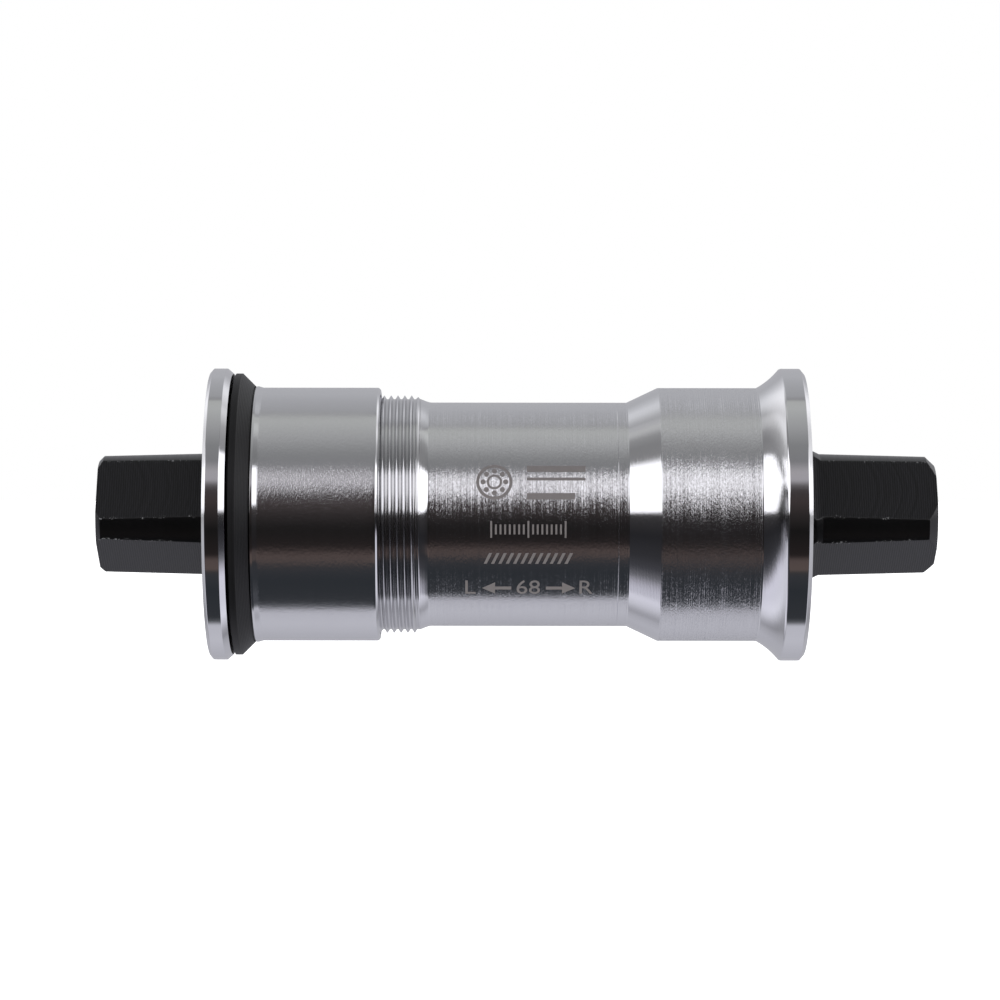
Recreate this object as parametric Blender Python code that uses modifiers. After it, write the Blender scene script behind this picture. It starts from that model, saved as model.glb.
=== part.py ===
"""Square-taper cartridge bottom bracket for a bicycle frame shell without threads.

A drive-side body runs right through the shell and carries both bearings. A left cup screws onto the
body's outer thread, and a conical flange on one side and a wedge ring on the other are pulled into
the two mouths of the shell.

Frame: metres, origin at the middle of the shell on the spindle's axis, +X to the drive side, +Z up.
Angles round the axis are counted from +Y towards +Z, which is the right-hand rule about +X.
"""
import math

import bmesh
import bpy
import numpy as np
from mathutils import Matrix

MM = 0.001
DEG = math.pi / 180

# Frame shell that the part clamps into
SHELL_WIDTH = 68.0 * MM

# Spindle
SPINDLE_LENGTH = 110.5 * MM
SPINDLE_OFFSET = 1.25 * MM           # the spindle's middle lies this far to the drive side
SHAFT_DIAMETER = 17.0 * MM           # bearing seats; every other radius is stepped up or down from here
SHAFT_SHOULDER = 1.1 * MM            # radial height of the thicker middle
TAPER_STEP = 0.45 * MM               # radial, from the shaft down to the tapers' blank
TAPER_STEP_LENGTH = 0.9 * MM
BLANK_TAPER = 0.35 * MM              # radial, from the blank's root to its end
TAPER_FLAT_DEPTH = 1.4 * MM          # flats below the blank's surface, at the end
TAPER_FLAT_LENGTH = 15.2 * MM
TAPER_ANGLE = 2 * DEG
TAPER_CUTTER_RADIUS = 2.5 * MM
SQUARE_TURN = 149.7 * DEG            # first flat's normal, at rest
END_CHAMFER_LENGTH = 1.2 * MM
END_CHAMFER_DEPTH = 1.1 * MM
BOLT_HOLE_DIAMETER = 7.0 * MM
BOLT_HOLE_DEPTH = 20.0 * MM
BOLT_TIP_ANGLE = 31 * DEG
BOLT_SINK_DIAMETER = 8.6 * MM

# Ball bearings: "side" is the room beside a ball, out to the face of the races
DRIVE_BEARING = {"side": 1.55 * MM, "count": 10, "rail": 0.5 * MM, "seal": 0.7 * MM, "inset": 0.15 * MM}
LEFT_BEARING = {"side": 1.15 * MM, "count": 13, "rail": 0.4 * MM, "seal": 0.5 * MM, "inset": 0.1 * MM}
LEFT_BEARING_HEIGHT = 4.5 * MM       # radial, from the shaft to the seat
BALL_SHARE = 0.6                     # ball's diameter, in bearing heights
LAND_SHARE = 0.62                    # race land, from the pitch circle, in ball radii
CAGE_SHARE = 0.36                    # half the cage's thickness, in ball radii
SEAL_STEP_SHARE = 0.36               # the outer race's seat for a seal, in ball radii
BALL_CLEARANCE = 0.04 * MM
SEAL_CLEARANCE = 0.15 * MM

# What holds the bearings
BEARING_LIP = 1.0 * MM               # radial height of the left bearing's shoulder
BEARING_LIP_WIDTH = 2.0 * MM
BEARING_BACK_WALL = 3.43 * MM        # full-width body behind the drive bearing's shoulder
BEARING_ENTRY = 0.2 * MM             # radial, drive bearing past the spline tips
RETAINER_THICKNESS = 1.0 * MM
RETAINER_GROOVE_DEPTH = 0.55 * MM
RETAINER_BAND = 1.7 * MM
RETAINER_LUG = 2.9 * MM
RETAINER_OPENING = 16 * DEG          # half of the gap in the ring
RETAINER_LUG_SPAN = 15 * DEG
RETAINER_HOLE_DIAMETER = 1.5 * MM
CAP_THICKNESS = 1.1 * MM
CAP_LIP_HEIGHT = 0.45 * MM
CAP_LIP_GAP = 0.2 * MM

# Thread between body and cup: right-handed, 28 to the inch
THREAD_PITCH = 25.4 * MM / 28
THREAD_DEPTH = 0.5 * MM
THREAD_CLEARANCE = 0.12 * MM
THREAD_SPARE = 0.6 * MM              # thread past the cup's own, inside the cup
THREAD_PHASE = 0.18                  # where the first groove starts, in pitches
THREAD_FADE = 0.7 * MM               # length over which a thread's end dies away

# Drive-side body
NOSE_WALL = 2.1 * MM                 # round the left bearing
NOSE_STEP = 0.15 * MM                # thread's root down to the nose
NOSE_LENGTH = 4.65 * MM
SLEEVE_STEP = 0.425 * MM             # thread's root down to the middle sleeve
SLEEVE_WALL = 1.625 * MM
RUN_OUT_LENGTH = 1.45 * MM
STEP_CONE_LENGTH = 4.1 * MM
DRIVE_SEAT_RISE = 0.875 * MM         # radial, from the cylinder to the cone's circle at the shell's end
DRIVE_FLANGE_RISE = 1.7 * MM         # radial, from that circle to the flange's rim
DRIVE_CONE_ANGLE = 40 * DEG
DRIVE_RIM_WIDTH = 2.6 * MM
FACE_CHAMFER_WIDTH = 0.55 * MM
FACE_CHAMFER_DEPTH = 0.65 * MM

# Left cup
CUP_WALL = 1.025 * MM                # outside the thread
CUP_LENGTH = 22.55 * MM
CUP_RIM_WIDTH = 1.75 * MM
CUP_INNER_CHAMFER_WIDTH = 0.75 * MM
CUP_FLANGE_RISE = 0.65 * MM          # radial, past the wedge ring
CUP_TRAVEL_IN = 5.0 * MM             # how far the cup can still be screwed in
CUP_TRAVEL_STOP = 0.4 * MM           # thread left over when it is right in
COLLAR_HEIGHT = 0.175 * MM           # low lip that keeps the ring on the cup
COLLAR_WIDTH = 0.3 * MM
COLLAR_TAPER = 0.8 * MM
COLLAR_GAP = 0.2 * MM

# Wedge ring on the left
RING_CONE_ANGLE = 45 * DEG
RING_EDGE = 0.045 * MM               # wall at the thin end, over the corners of the bore
RING_SEAT_RISE = 0.6 * MM            # radial, from the thin end to the circle at the shell's end
RING_RIM_RISE = 1.05 * MM            # radial, from that circle to the rim
RING_RIM_WIDTH = 0.85 * MM
RING_RUNNING_GAP = 0.1 * MM          # radial, ring on cup sleeve
RING_END_GAP = 0.4 * MM              # axial, ring to cup flange

# Tool splines in both mouths
SPLINE_COUNT = 20
SPLINE_HEIGHT = 0.7 * MM
SPLINE_SINK = 0.1 * MM               # spline roots inside the relief
SPLINE_LENGTH = 5.1 * MM
RELIEF_STEP = 0.25 * MM              # relief outside the thread
RELIEF_WIDTH = 0.8 * MM
MOUTH_CHAMFER = 0.4 * MM

PRESS_GAP = 0.03 * MM                # radial, between faceted pieces that are pressed together
AXIAL_GAP = 0.1 * MM

BODY_SIDES = 32
BEARING_SIDES = 24
POCKET_SIDES = 8
BALL_SEGMENTS = 8
BALL_RINGS = 6
GROOVE_STEPS = 4
RUN_OUT_STEPS = 3
CUT_MARGIN = 2.0 * MM


def hole(radius, sides=BODY_SIDES):
    """Corner radius of a faceted hole whose flats touch the true circle."""
    return radius / math.cos(math.pi / sides)


def ball_diameter(bearing_height):
    return bearing_height * BALL_SHARE


# Radii, from the shaft outwards
r_shaft = SHAFT_DIAMETER / 2
r_left_seat = r_shaft + LEFT_BEARING_HEIGHT
r_nose = r_left_seat + NOSE_WALL
r_root = r_nose + NOSE_STEP
r_thread = r_root + THREAD_DEPTH
r_sleeve = r_root - SLEEVE_STEP
r_relief = r_thread + RELIEF_STEP
r_spline_root = r_relief - SPLINE_SINK
r_spline_tip = r_spline_root - SPLINE_HEIGHT
r_drive_seat = r_spline_tip - BEARING_ENTRY
r_through = r_thread + CUP_WALL      # what passes through the frame shell, on both sides
r_drive_flange = r_through + DRIVE_SEAT_RISE + DRIVE_FLANGE_RISE
r_ring_small = hole(r_through + RING_RUNNING_GAP) + RING_EDGE
r_ring_large = r_ring_small + RING_SEAT_RISE + RING_RIM_RISE
r_cup_flange = r_ring_large + CUP_FLANGE_RISE
r_blank_root = r_shaft - TAPER_STEP
r_blank_end = r_blank_root - BLANK_TAPER

drive_bearing_width = ball_diameter(r_drive_seat - r_shaft) + 2 * DRIVE_BEARING["side"]
left_bearing_width = ball_diameter(LEFT_BEARING_HEIGHT) + 2 * LEFT_BEARING["side"]

# Places along the axis, drive side first
x_shell = SHELL_WIDTH / 2
x_cone_small = x_shell - DRIVE_SEAT_RISE / math.tan(DRIVE_CONE_ANGLE)
x_cone_large = x_shell + DRIVE_FLANGE_RISE / math.tan(DRIVE_CONE_ANGLE)
x_drive_face = x_cone_large + DRIVE_RIM_WIDTH + FACE_CHAMFER_WIDTH
x_drive_splines = x_drive_face - SPLINE_LENGTH
x_drive_relief = x_drive_splines - RELIEF_WIDTH
x_drive_cap = x_drive_relief - 3 * AXIAL_GAP - CAP_THICKNESS
x_drive_groove = x_drive_cap - 3 * AXIAL_GAP - RETAINER_THICKNESS - 2 * AXIAL_GAP
x_drive_bearing = x_drive_groove - drive_bearing_width
x_drive_shoulder = x_drive_bearing - AXIAL_GAP
x_step_right = x_drive_shoulder - BEARING_BACK_WALL
x_step_left = x_step_right - STEP_CONE_LENGTH

# Left side: ring, cup, then the body's nose inside the cup
x_ring_right = -x_shell + RING_SEAT_RISE / math.tan(RING_CONE_ANGLE)
x_ring_edge = -x_shell - RING_RIM_RISE / math.tan(RING_CONE_ANGLE)
x_ring_left = x_ring_edge - RING_RIM_WIDTH
x_cup_back = x_ring_left - RING_END_GAP
x_cup_rim = x_cup_back - CUP_INNER_CHAMFER_WIDTH
x_cup_face = x_cup_rim - CUP_RIM_WIDTH - FACE_CHAMFER_WIDTH
x_cup_end = x_cup_face + CUP_LENGTH
x_cup_splines = x_cup_face + SPLINE_LENGTH
x_nose = x_cup_splines + CUP_TRAVEL_IN + 4 * AXIAL_GAP
x_thread_left = x_nose + NOSE_LENGTH
x_thread_right = x_cup_end + CUP_TRAVEL_IN + CUP_TRAVEL_STOP
x_thread_datum = x_thread_right - THREAD_PHASE * THREAD_PITCH
x_cup_thread_left = x_thread_left + THREAD_SPARE
x_cup_thread_right = x_cup_end - THREAD_DEPTH
x_left_cap = x_nose + AXIAL_GAP
x_left_groove = x_left_cap + CAP_THICKNESS + AXIAL_GAP
x_left_bearing = x_left_groove + RETAINER_THICKNESS + 2 * AXIAL_GAP
x_left_shoulder = x_left_bearing + left_bearing_width + AXIAL_GAP
x_lip_end = x_left_shoulder + BEARING_LIP_WIDTH

x_spindle_right = SPINDLE_OFFSET + SPINDLE_LENGTH / 2
x_spindle_left = SPINDLE_OFFSET - SPINDLE_LENGTH / 2


def collection(name):
    made = bpy.data.collections.new(name)
    bpy.context.scene.collection.children.link(made)
    return made


def material(name, colour, metallic, roughness):
    made = bpy.data.materials.new(name)
    made.use_nodes = True
    shader = made.node_tree.nodes["Principled BSDF"]
    shader.inputs["Base Color"].default_value = (*colour, 1.0)
    shader.inputs["Metallic"].default_value = metallic
    shader.inputs["Roughness"].default_value = roughness
    made.diffuse_color = (*colour, 1.0)
    return made


def add(name, mesh, parent, finish, group):
    """Link a mesh as a named object under a parent empty."""
    made = bpy.data.objects.new(name, mesh)
    group.objects.link(made)
    made.parent = parent
    if finish is not None:
        mesh.materials.append(finish)
    return made


def axis_empty(name, parent, group, x=0.0):
    """An empty on the spindle's axis that carries one moving body."""
    made = bpy.data.objects.new(name, None)
    made.empty_display_size = 0.01
    made.location = (x, 0, 0)
    group.objects.link(made)
    made.parent = parent
    return made


def turned(name, profile, sides, parent, finish, group, closed=True):
    """Turn a profile of (x, radius) points about the X axis; outer walls run towards -X."""
    mesh = bpy.data.meshes.new(name)
    count = len(profile)
    edges = [(i, (i + 1) % count) for i in range(count if closed else count - 1)]
    mesh.from_pydata([(radius, 0, x) for x, radius in profile], edges, [])
    made = add(name, mesh, parent, finish, group)
    made.rotation_euler = (0, math.pi / 2, 0)
    screw = made.modifiers.new("turn", "SCREW")
    screw.axis = "Z"
    screw.steps = sides
    screw.render_steps = sides
    screw.use_merge_vertices = True
    screw.merge_threshold = 0.00001
    screw.use_smooth_shade = False
    return made


def thread_rows(x_from, x_to, crest, root):
    """Rows of a helical thread between two places, as (x, radius) arrays with a value per column.

    A row lies half a pitch from the next and climbs one pitch in a turn. Rows past the ends are held
    on the end plane, where the thread has faded to its root, so they merge into the plain surface.
    """
    turn = np.linspace(0.0, 1.0, BODY_SIDES + 1)
    half = THREAD_PITCH / 2
    low, high = min(x_from, x_to), max(x_from, x_to)
    first = math.floor((low - x_thread_datum) / half) - 2
    last = math.ceil((high - x_thread_datum) / half)
    steps = range(first, last + 1)
    if x_from > x_to:
        steps = reversed(steps)
    rows = []
    for step in steps:
        x = np.clip(x_thread_datum + step * half + turn * THREAD_PITCH, low, high)
        fade = np.clip(np.minimum(x - low, high - x) / THREAD_FADE, 0.0, 1.0)
        ridge = step % 2 if crest > root else 1 - step % 2
        rows.append((x, root + (crest - root) * fade * ridge))
    return rows


def threaded_turning(name, rows, parent, finish, group):
    """Close a loop of rows round the axis; a row is (x, radius), plain or with a value per column."""
    columns = BODY_SIDES + 1
    angle = np.linspace(0.0, 2 * math.pi, columns)
    x = np.array([np.broadcast_to(row[0], columns) for row in rows])
    radius = np.array([np.broadcast_to(row[1], columns) for row in rows])
    points = np.stack([x, radius * np.cos(angle), radius * np.sin(angle)], axis=-1).reshape(-1, 3)
    faces = []
    for j in range(len(rows)):
        here = j * columns
        below = (j + 1) % len(rows) * columns
        for i in range(BODY_SIDES):
            faces.append((here + i, below + i, below + i + 1, here + i + 1))
    mesh = bpy.data.meshes.new(name)
    mesh.from_pydata(points.tolist(), [], faces)
    work = bmesh.new()
    work.from_mesh(mesh)
    bmesh.ops.remove_doubles(work, verts=work.verts, dist=1e-7)
    bmesh.ops.dissolve_degenerate(work, edges=work.edges, dist=1e-7)
    work.to_mesh(mesh)
    work.free()
    return add(name, mesh, parent, finish, group)


def prism(name, outlines, low, high, placing, parent, finish, group):
    """Fill flat outlines, extrude them from low to high along local Z, and place the result."""
    curve = bpy.data.curves.new(name + "_outline", "CURVE")
    curve.dimensions = "2D"
    curve.fill_mode = "BOTH"
    curve.extrude = (high - low) / 2
    for outline in outlines:
        spline = curve.splines.new("POLY")
        spline.points.add(len(outline) - 1)
        for point, place in zip(spline.points, outline):
            point.co = (place[0], place[1], 0, 1)
        spline.use_cyclic_u = True
    drawn = bpy.data.objects.new(name + "_outline", curve)
    bpy.context.scene.collection.objects.link(drawn)
    ready = drawn.evaluated_get(bpy.context.evaluated_depsgraph_get())
    mesh = bpy.data.meshes.new_from_object(ready)
    bpy.data.objects.remove(drawn)
    work = bmesh.new()
    work.from_mesh(mesh)
    bmesh.ops.remove_doubles(work, verts=work.verts, dist=1e-7)
    bmesh.ops.translate(work, vec=(0, 0, (low + high) / 2), verts=work.verts)
    bmesh.ops.transform(work, matrix=placing, verts=work.verts)
    work.to_mesh(mesh)
    work.free()
    mesh.name = name
    mesh.materials.clear()
    return add(name, mesh, parent, finish, group)


def across_axis():
    """Local X, Y and Z go to world Y, Z and X: for outlines drawn across the axis."""
    return Matrix(((0, 0, 1, 0), (1, 0, 0, 0), (0, 1, 0, 0), (0, 0, 0, 1)))


def along_axis(angle):
    """Local X to world X, local Y outwards at an angle: for outlines drawn beside the axis."""
    c, s = math.cos(angle), math.sin(angle)
    return Matrix(((1, 0, 0, 0), (0, c, -s, 0), (0, s, c, 0), (0, 0, 0, 1)))


def cut(target, cutter):
    """Take a cutter's volume out of a piece, and hide the cutter."""
    cutter.hide_render = True
    cutter.display_type = "WIRE"
    boolean = target.modifiers.new("cut_" + cutter.name, "BOOLEAN")
    boolean.operation = "DIFFERENCE"
    boolean.object = cutter


def polar(radius, angle):
    return (radius * math.cos(angle), radius * math.sin(angle))


def spline_cutter(name, x_low, x_high, cutters):
    """A star prism that cuts the slots between the tool splines."""
    inner = r_spline_tip - 2 * MOUTH_CHAMFER
    pitch = 2 * math.pi / SPLINE_COUNT
    outline = []
    for tooth in range(SPLINE_COUNT):
        start = tooth * pitch
        outline += [polar(r_spline_root, start), polar(r_spline_root, start + pitch * 0.45),
                    polar(inner, start + pitch * 0.5), polar(inner, start + pitch * 0.95)]
    return prism(name, [outline], x_low, x_high, across_axis(), None, None, cutters)


def retainer_groove(x, seat_radius):
    """Inner-wall rows of the groove that a retaining ring snaps into."""
    wide = RETAINER_THICKNESS + 2 * AXIAL_GAP
    deep = seat_radius + RETAINER_GROOVE_DEPTH
    return [(x, hole(seat_radius)), (x, hole(deep)), (x + wide, hole(deep)), (x + wide, hole(seat_radius))]


def drive_side_body(parent, finish, group, cutters):
    """Flange, shell cone, sleeve and outer thread, with both bearing seats inside."""
    r_lip = r_left_seat - BEARING_LIP
    r_middle = r_sleeve - SLEEVE_WALL
    outside = [(x_drive_face, r_drive_flange - FACE_CHAMFER_DEPTH),
               (x_drive_face - FACE_CHAMFER_WIDTH, r_drive_flange),
               (x_cone_large, r_drive_flange), (x_cone_small, r_through),
               (x_step_right, r_through), (x_step_left, r_sleeve)]
    for step in range(RUN_OUT_STEPS):
        share = step / RUN_OUT_STEPS
        rise = 1 - math.sqrt(1 - share ** 2)
        outside.append((x_thread_right + RUN_OUT_LENGTH * (1 - share), r_sleeve + (r_root - r_sleeve) * rise))
    thread = thread_rows(x_thread_right, x_thread_left, r_thread, r_root)
    nose = [(x_thread_left - NOSE_STEP, r_nose), (x_nose + MOUTH_CHAMFER, r_nose),
            (x_nose, r_nose - MOUTH_CHAMFER)]
    bore = [(x_nose, hole(r_left_seat)), *retainer_groove(x_left_groove, r_left_seat),
            (x_left_shoulder, hole(r_left_seat)), (x_left_shoulder, hole(r_lip)),
            (x_lip_end, hole(r_lip)), (x_lip_end, hole(r_middle)),
            (x_drive_shoulder, hole(r_middle)), (x_drive_shoulder, hole(r_drive_seat)),
            *retainer_groove(x_drive_groove, r_drive_seat)]
    mouth = [(x_drive_relief, hole(r_drive_seat)), (x_drive_relief, hole(r_relief)),
             (x_drive_splines, hole(r_relief)), (x_drive_splines, hole(r_spline_tip)),
             (x_drive_face - MOUTH_CHAMFER, hole(r_spline_tip)),
             (x_drive_face, hole(r_spline_tip) + MOUTH_CHAMFER)]
    made = threaded_turning("drive_side_body", outside + thread + nose + bore + mouth, parent, finish, group)
    middle_of_relief = (x_drive_relief + x_drive_splines) / 2
    cut(made, spline_cutter("drive_spline_cutter", middle_of_relief, x_drive_face + CUT_MARGIN, cutters))
    return made


def left_cup(parent, finish, group, cutters):
    """Flanged sleeve with an inner thread at one end and tool splines in its mouth."""
    crest = hole(r_root + THREAD_CLEARANCE)
    root = hole(r_thread + THREAD_CLEARANCE)
    x_collar = x_ring_right + COLLAR_GAP
    r_collar = r_through + COLLAR_HEIGHT
    r_edge = r_cup_flange - FACE_CHAMFER_DEPTH
    outside = [(x_cup_end, r_through - CUP_INNER_CHAMFER_WIDTH / 3),
               (x_cup_end - CUP_INNER_CHAMFER_WIDTH / 3, r_through),
               (x_collar + COLLAR_WIDTH + COLLAR_TAPER, r_through),
               (x_collar + COLLAR_WIDTH, r_collar), (x_collar, r_collar),
               (x_collar, r_through), (x_cup_back, r_through), (x_cup_back, r_edge),
               (x_cup_rim, r_cup_flange), (x_cup_face + FACE_CHAMFER_WIDTH, r_cup_flange),
               (x_cup_face, r_edge)]
    mouth = [(x_cup_face, hole(r_spline_tip) + MOUTH_CHAMFER),
             (x_cup_face + MOUTH_CHAMFER, hole(r_spline_tip)),
             (x_cup_splines, hole(r_spline_tip)), (x_cup_splines, hole(r_relief)),
             (x_cup_thread_left - THREAD_CLEARANCE, hole(r_relief))]
    thread = thread_rows(x_cup_thread_left, x_cup_thread_right, crest, root)
    made = threaded_turning("left_cup", outside + mouth + thread, parent, finish, group)
    past_splines = x_cup_splines + RELIEF_WIDTH / 2
    cut(made, spline_cutter("cup_spline_cutter", x_cup_face - CUT_MARGIN, past_splines, cutters))
    return made


def wedge_ring(parent, finish, group):
    """Loose conical ring between the cup's flange and the shell."""
    bore = r_ring_small - RING_EDGE
    profile = [(x_ring_right, r_ring_small), (x_ring_edge, r_ring_large),
               (x_ring_left + RING_RUNNING_GAP, r_ring_large), (x_ring_left, r_ring_large - RING_RUNNING_GAP),
               (x_ring_left, bore), (x_ring_right, bore)]
    return turned("wedge_ring", profile, BODY_SIDES, parent, finish, group)


def spindle_end(x_end, side):
    """Profile of one spindle end, from the bolt hole's tip out to the shaft; side is +1 or -1."""
    r_hole = BOLT_HOLE_DIAMETER / 2
    r_sink = BOLT_SINK_DIAMETER / 2
    x_flats = x_end - side * TAPER_FLAT_LENGTH
    return [(x_end - side * (BOLT_HOLE_DEPTH + r_hole * math.tan(BOLT_TIP_ANGLE)), 0.0),
            (x_end - side * BOLT_HOLE_DEPTH, hole(r_hole)),
            (x_end - side * (r_sink - r_hole), hole(r_hole)), (x_end, hole(r_sink)),
            (x_end, r_blank_end - END_CHAMFER_DEPTH), (x_end - side * END_CHAMFER_LENGTH, r_blank_end),
            (x_flats, r_blank_root), (x_flats - side * TAPER_STEP_LENGTH, r_shaft)]


def flat_cutter(name, x_end, side, angle, cutters):
    """Cuts one flat of a square taper: a leaning plane that runs out along the milling cutter's arc."""
    slope = math.tan(TAPER_ANGLE)
    half = r_blank_end - TAPER_FLAT_DEPTH
    deep = half + TAPER_FLAT_LENGTH * slope
    x_root = x_end - side * TAPER_FLAT_LENGTH
    top = r_shaft + CUT_MARGIN
    sweep = math.acos(1 - (r_shaft + AXIAL_GAP * 3 - deep) / TAPER_CUTTER_RADIUS)
    outline = [(x_end + side * CUT_MARGIN, half - CUT_MARGIN * slope)]
    for step in range(GROOVE_STEPS + 1):
        turn = sweep * step / GROOVE_STEPS
        outline.append((x_root - side * TAPER_CUTTER_RADIUS * math.sin(turn),
                        deep + TAPER_CUTTER_RADIUS * (1 - math.cos(turn))))
    outline += [(outline[-1][0], top), (x_end + side * CUT_MARGIN, top)]
    return prism(name, [outline], -r_shaft, r_shaft, along_axis(angle), None, None, cutters)


def spindle(parent, finish, group, cutters):
    """Solid spindle: square tapers, bearing seats, a thicker middle and a bolt hole in each end."""
    r_middle = r_shaft + SHAFT_SHOULDER
    x_right_seat = x_drive_bearing - AXIAL_GAP
    x_left_seat = x_left_bearing + left_bearing_width + AXIAL_GAP
    middle = [(x_right_seat, r_shaft), (x_right_seat, r_middle),
              (x_left_seat, r_middle), (x_left_seat, r_shaft)]
    left = spindle_end(x_spindle_left, -1)
    left.reverse()
    made = turned("spindle", spindle_end(x_spindle_right, 1) + middle + left, BODY_SIDES, parent, finish,
                  group, closed=False)
    for label, x_end, side in (("drive", x_spindle_right, 1), ("left", x_spindle_left, -1)):
        for flat in range(4):
            angle = SQUARE_TURN + flat * math.pi / 2
            cut(made, flat_cutter(f"{label}_flat_cutter_{flat + 1}", x_end, side, angle, cutters))
    return made


def groove_arc(x_middle, pitch_radius, groove_radius, land_radius, outwards):
    """Points of a ball groove, from its -X edge to its +X edge."""
    spread = math.acos(abs(land_radius - pitch_radius) / groove_radius)
    points = []
    for step in range(GROOVE_STEPS + 1):
        turn = spread * (2 * step / GROOVE_STEPS - 1)
        points.append((x_middle + groove_radius * math.sin(turn),
                       pitch_radius + outwards * groove_radius * math.cos(turn)))
    return points


def bearing(label, size, x_low, r_outer, still, spinning, rolling, looks, group, cutters):
    """A sealed ball bearing: two races, a cage, its balls and two seals, each a piece of its own."""
    ball = ball_diameter(r_outer - r_shaft) / 2
    x_middle = x_low + ball + size["side"]
    x_high = x_middle + ball + size["side"]
    pitch_radius = (r_outer + r_shaft) / 2
    groove = ball + BALL_CLEARANCE
    land_in = pitch_radius - LAND_SHARE * ball
    land_out = pitch_radius + LAND_SHARE * ball
    seat = land_out + SEAL_STEP_SHARE * ball
    depth = size["inset"] + size["seal"] + PRESS_GAP

    def faceted(points):
        return [(x, hole(radius, BEARING_SIDES)) for x, radius in points]

    inside = [(x_low, seat), (x_low + depth, seat), (x_low + depth, land_out),
              *groove_arc(x_middle, pitch_radius, groove, land_out, 1),
              (x_high - depth, land_out), (x_high - depth, seat), (x_high, seat)]
    wall = r_outer - PRESS_GAP
    turned(f"{label}_bearing_outer_race", [(x_high, wall), (x_low, wall), *faceted(inside)],
           BEARING_SIDES, still, looks["race"], group)

    track = groove_arc(x_middle, pitch_radius, groove, land_in, -1)
    track.reverse()
    bore = hole(r_shaft + PRESS_GAP, BEARING_SIDES)
    ring = [(x_high, land_in), *track, (x_low, land_in), (x_low, bore), (x_high, bore)]
    turned(f"{label}_bearing_inner_race", ring, BEARING_SIDES, spinning, looks["race"], group)

    ends = ("inboard", "outboard") if label == "drive" else ("outboard", "inboard")
    for end, x_seal in zip(ends, (x_low + size["inset"], x_high - size["inset"] - size["seal"])):
        x_far = x_seal + size["seal"]
        lip = hole(land_in + SEAL_CLEARANCE, BEARING_SIDES)
        rim = seat - PRESS_GAP
        turned(f"{label}_bearing_{end}_seal", [(x_far, rim), (x_seal, rim), (x_seal, lip), (x_far, lip)],
               BEARING_SIDES, still, looks["seal"], group)

    half = ball + size["rail"]
    cage_out = pitch_radius + CAGE_SHARE * ball
    cage_in = hole(pitch_radius - CAGE_SHARE * ball, BEARING_SIDES)
    cage = turned(f"{label}_bearing_cage", [(x_middle + half, cage_out), (x_middle - half, cage_out),
                                            (x_middle - half, cage_in), (x_middle + half, cage_in)],
                  BEARING_SIDES, rolling, looks["cage"], group)
    pockets = bmesh.new()
    for number in range(size["count"]):
        angle = 2 * math.pi * number / size["count"]
        place = Matrix.Translation((x_middle, *polar(pitch_radius, angle)))
        face = Matrix.Rotation(angle, 4, "X") @ Matrix.Rotation(math.pi / 2, 4, "X")
        bmesh.ops.create_cone(pockets, cap_ends=True, segments=POCKET_SIDES, depth=2 * ball,
                              radius1=hole(groove, POCKET_SIDES), radius2=hole(groove, POCKET_SIDES),
                              matrix=place @ face)
        ball_mesh = bpy.data.meshes.new(f"{label}_ball_{number + 1:02d}")
        shape = bmesh.new()
        bmesh.ops.create_uvsphere(shape, u_segments=BALL_SEGMENTS, v_segments=BALL_RINGS, radius=ball)
        shape.to_mesh(ball_mesh)
        shape.free()
        made = add(f"{label}_ball_{number + 1:02d}", ball_mesh, rolling, looks["ball"], group)
        made.location = place.translation
    pocket_mesh = bpy.data.meshes.new(f"{label}_pocket_cutter")
    pockets.to_mesh(pocket_mesh)
    pockets.free()
    cut(cage, add(f"{label}_pocket_cutter", pocket_mesh, None, None, cutters))


def retaining_ring(name, x_groove, seat_radius, parent, finish, group):
    """Internal retaining ring: an open band with a drilled lug at each end, its gap at the bottom."""
    outer = seat_radius + RETAINER_GROOVE_DEPTH - AXIAL_GAP
    inner = outer - RETAINER_BAND
    lug = outer - RETAINER_LUG
    down = -math.pi / 2
    start = down + RETAINER_OPENING
    end = down + 2 * math.pi - RETAINER_OPENING
    outline = [polar(outer, start + (end - start) * step / BEARING_SIDES)
               for step in range(BEARING_SIDES + 1)]
    outline += [polar(lug, end), polar(lug, end - RETAINER_LUG_SPAN)]
    start_in, end_in = end - RETAINER_LUG_SPAN, start + RETAINER_LUG_SPAN
    outline += [polar(inner, start_in + (end_in - start_in) * step / BEARING_SIDES)
                for step in range(BEARING_SIDES + 1)]
    outline += [polar(lug, start + RETAINER_LUG_SPAN), polar(lug, start)]
    middle = outer - RETAINER_LUG / 2
    outlines = [outline]
    for lug_angle in (start + RETAINER_LUG_SPAN / 2, end - RETAINER_LUG_SPAN / 2):
        y, z = polar(middle, lug_angle)
        ring = []
        for step in range(POCKET_SIDES):
            u, v = polar(RETAINER_HOLE_DIAMETER / 2, 2 * math.pi * step / POCKET_SIDES)
            ring.append((y + u, z + v))
        outlines.append(ring)
    x_low = x_groove + AXIAL_GAP
    return prism(name, outlines, x_low, x_low + RETAINER_THICKNESS, across_axis(), parent, finish, group)


def dust_cap(name, x_low, side, seat_radius, parent, finish, group):
    """Cap outboard of a bearing, with a lip standing out beside the shaft; side is +1 or -1."""
    rim = seat_radius - PRESS_GAP
    bore = hole(r_shaft + CAP_LIP_GAP)
    lip = bore + CAP_THICKNESS
    x_out = x_low + CAP_THICKNESS if side > 0 else x_low
    x_in = x_low if side > 0 else x_low + CAP_THICKNESS
    x_web = x_out - side * CAP_LIP_HEIGHT
    profile = [(x_out, rim), (x_in, rim), (x_in, bore), (x_out, bore), (x_out, lip),
               (x_web, lip + CAP_LIP_HEIGHT / 2), (x_web, rim - CAP_THICKNESS),
               (x_out, rim - CAP_THICKNESS / 2)]
    if side < 0:
        profile.reverse()
    return turned(name, profile, BODY_SIDES, parent, finish, group)


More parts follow.
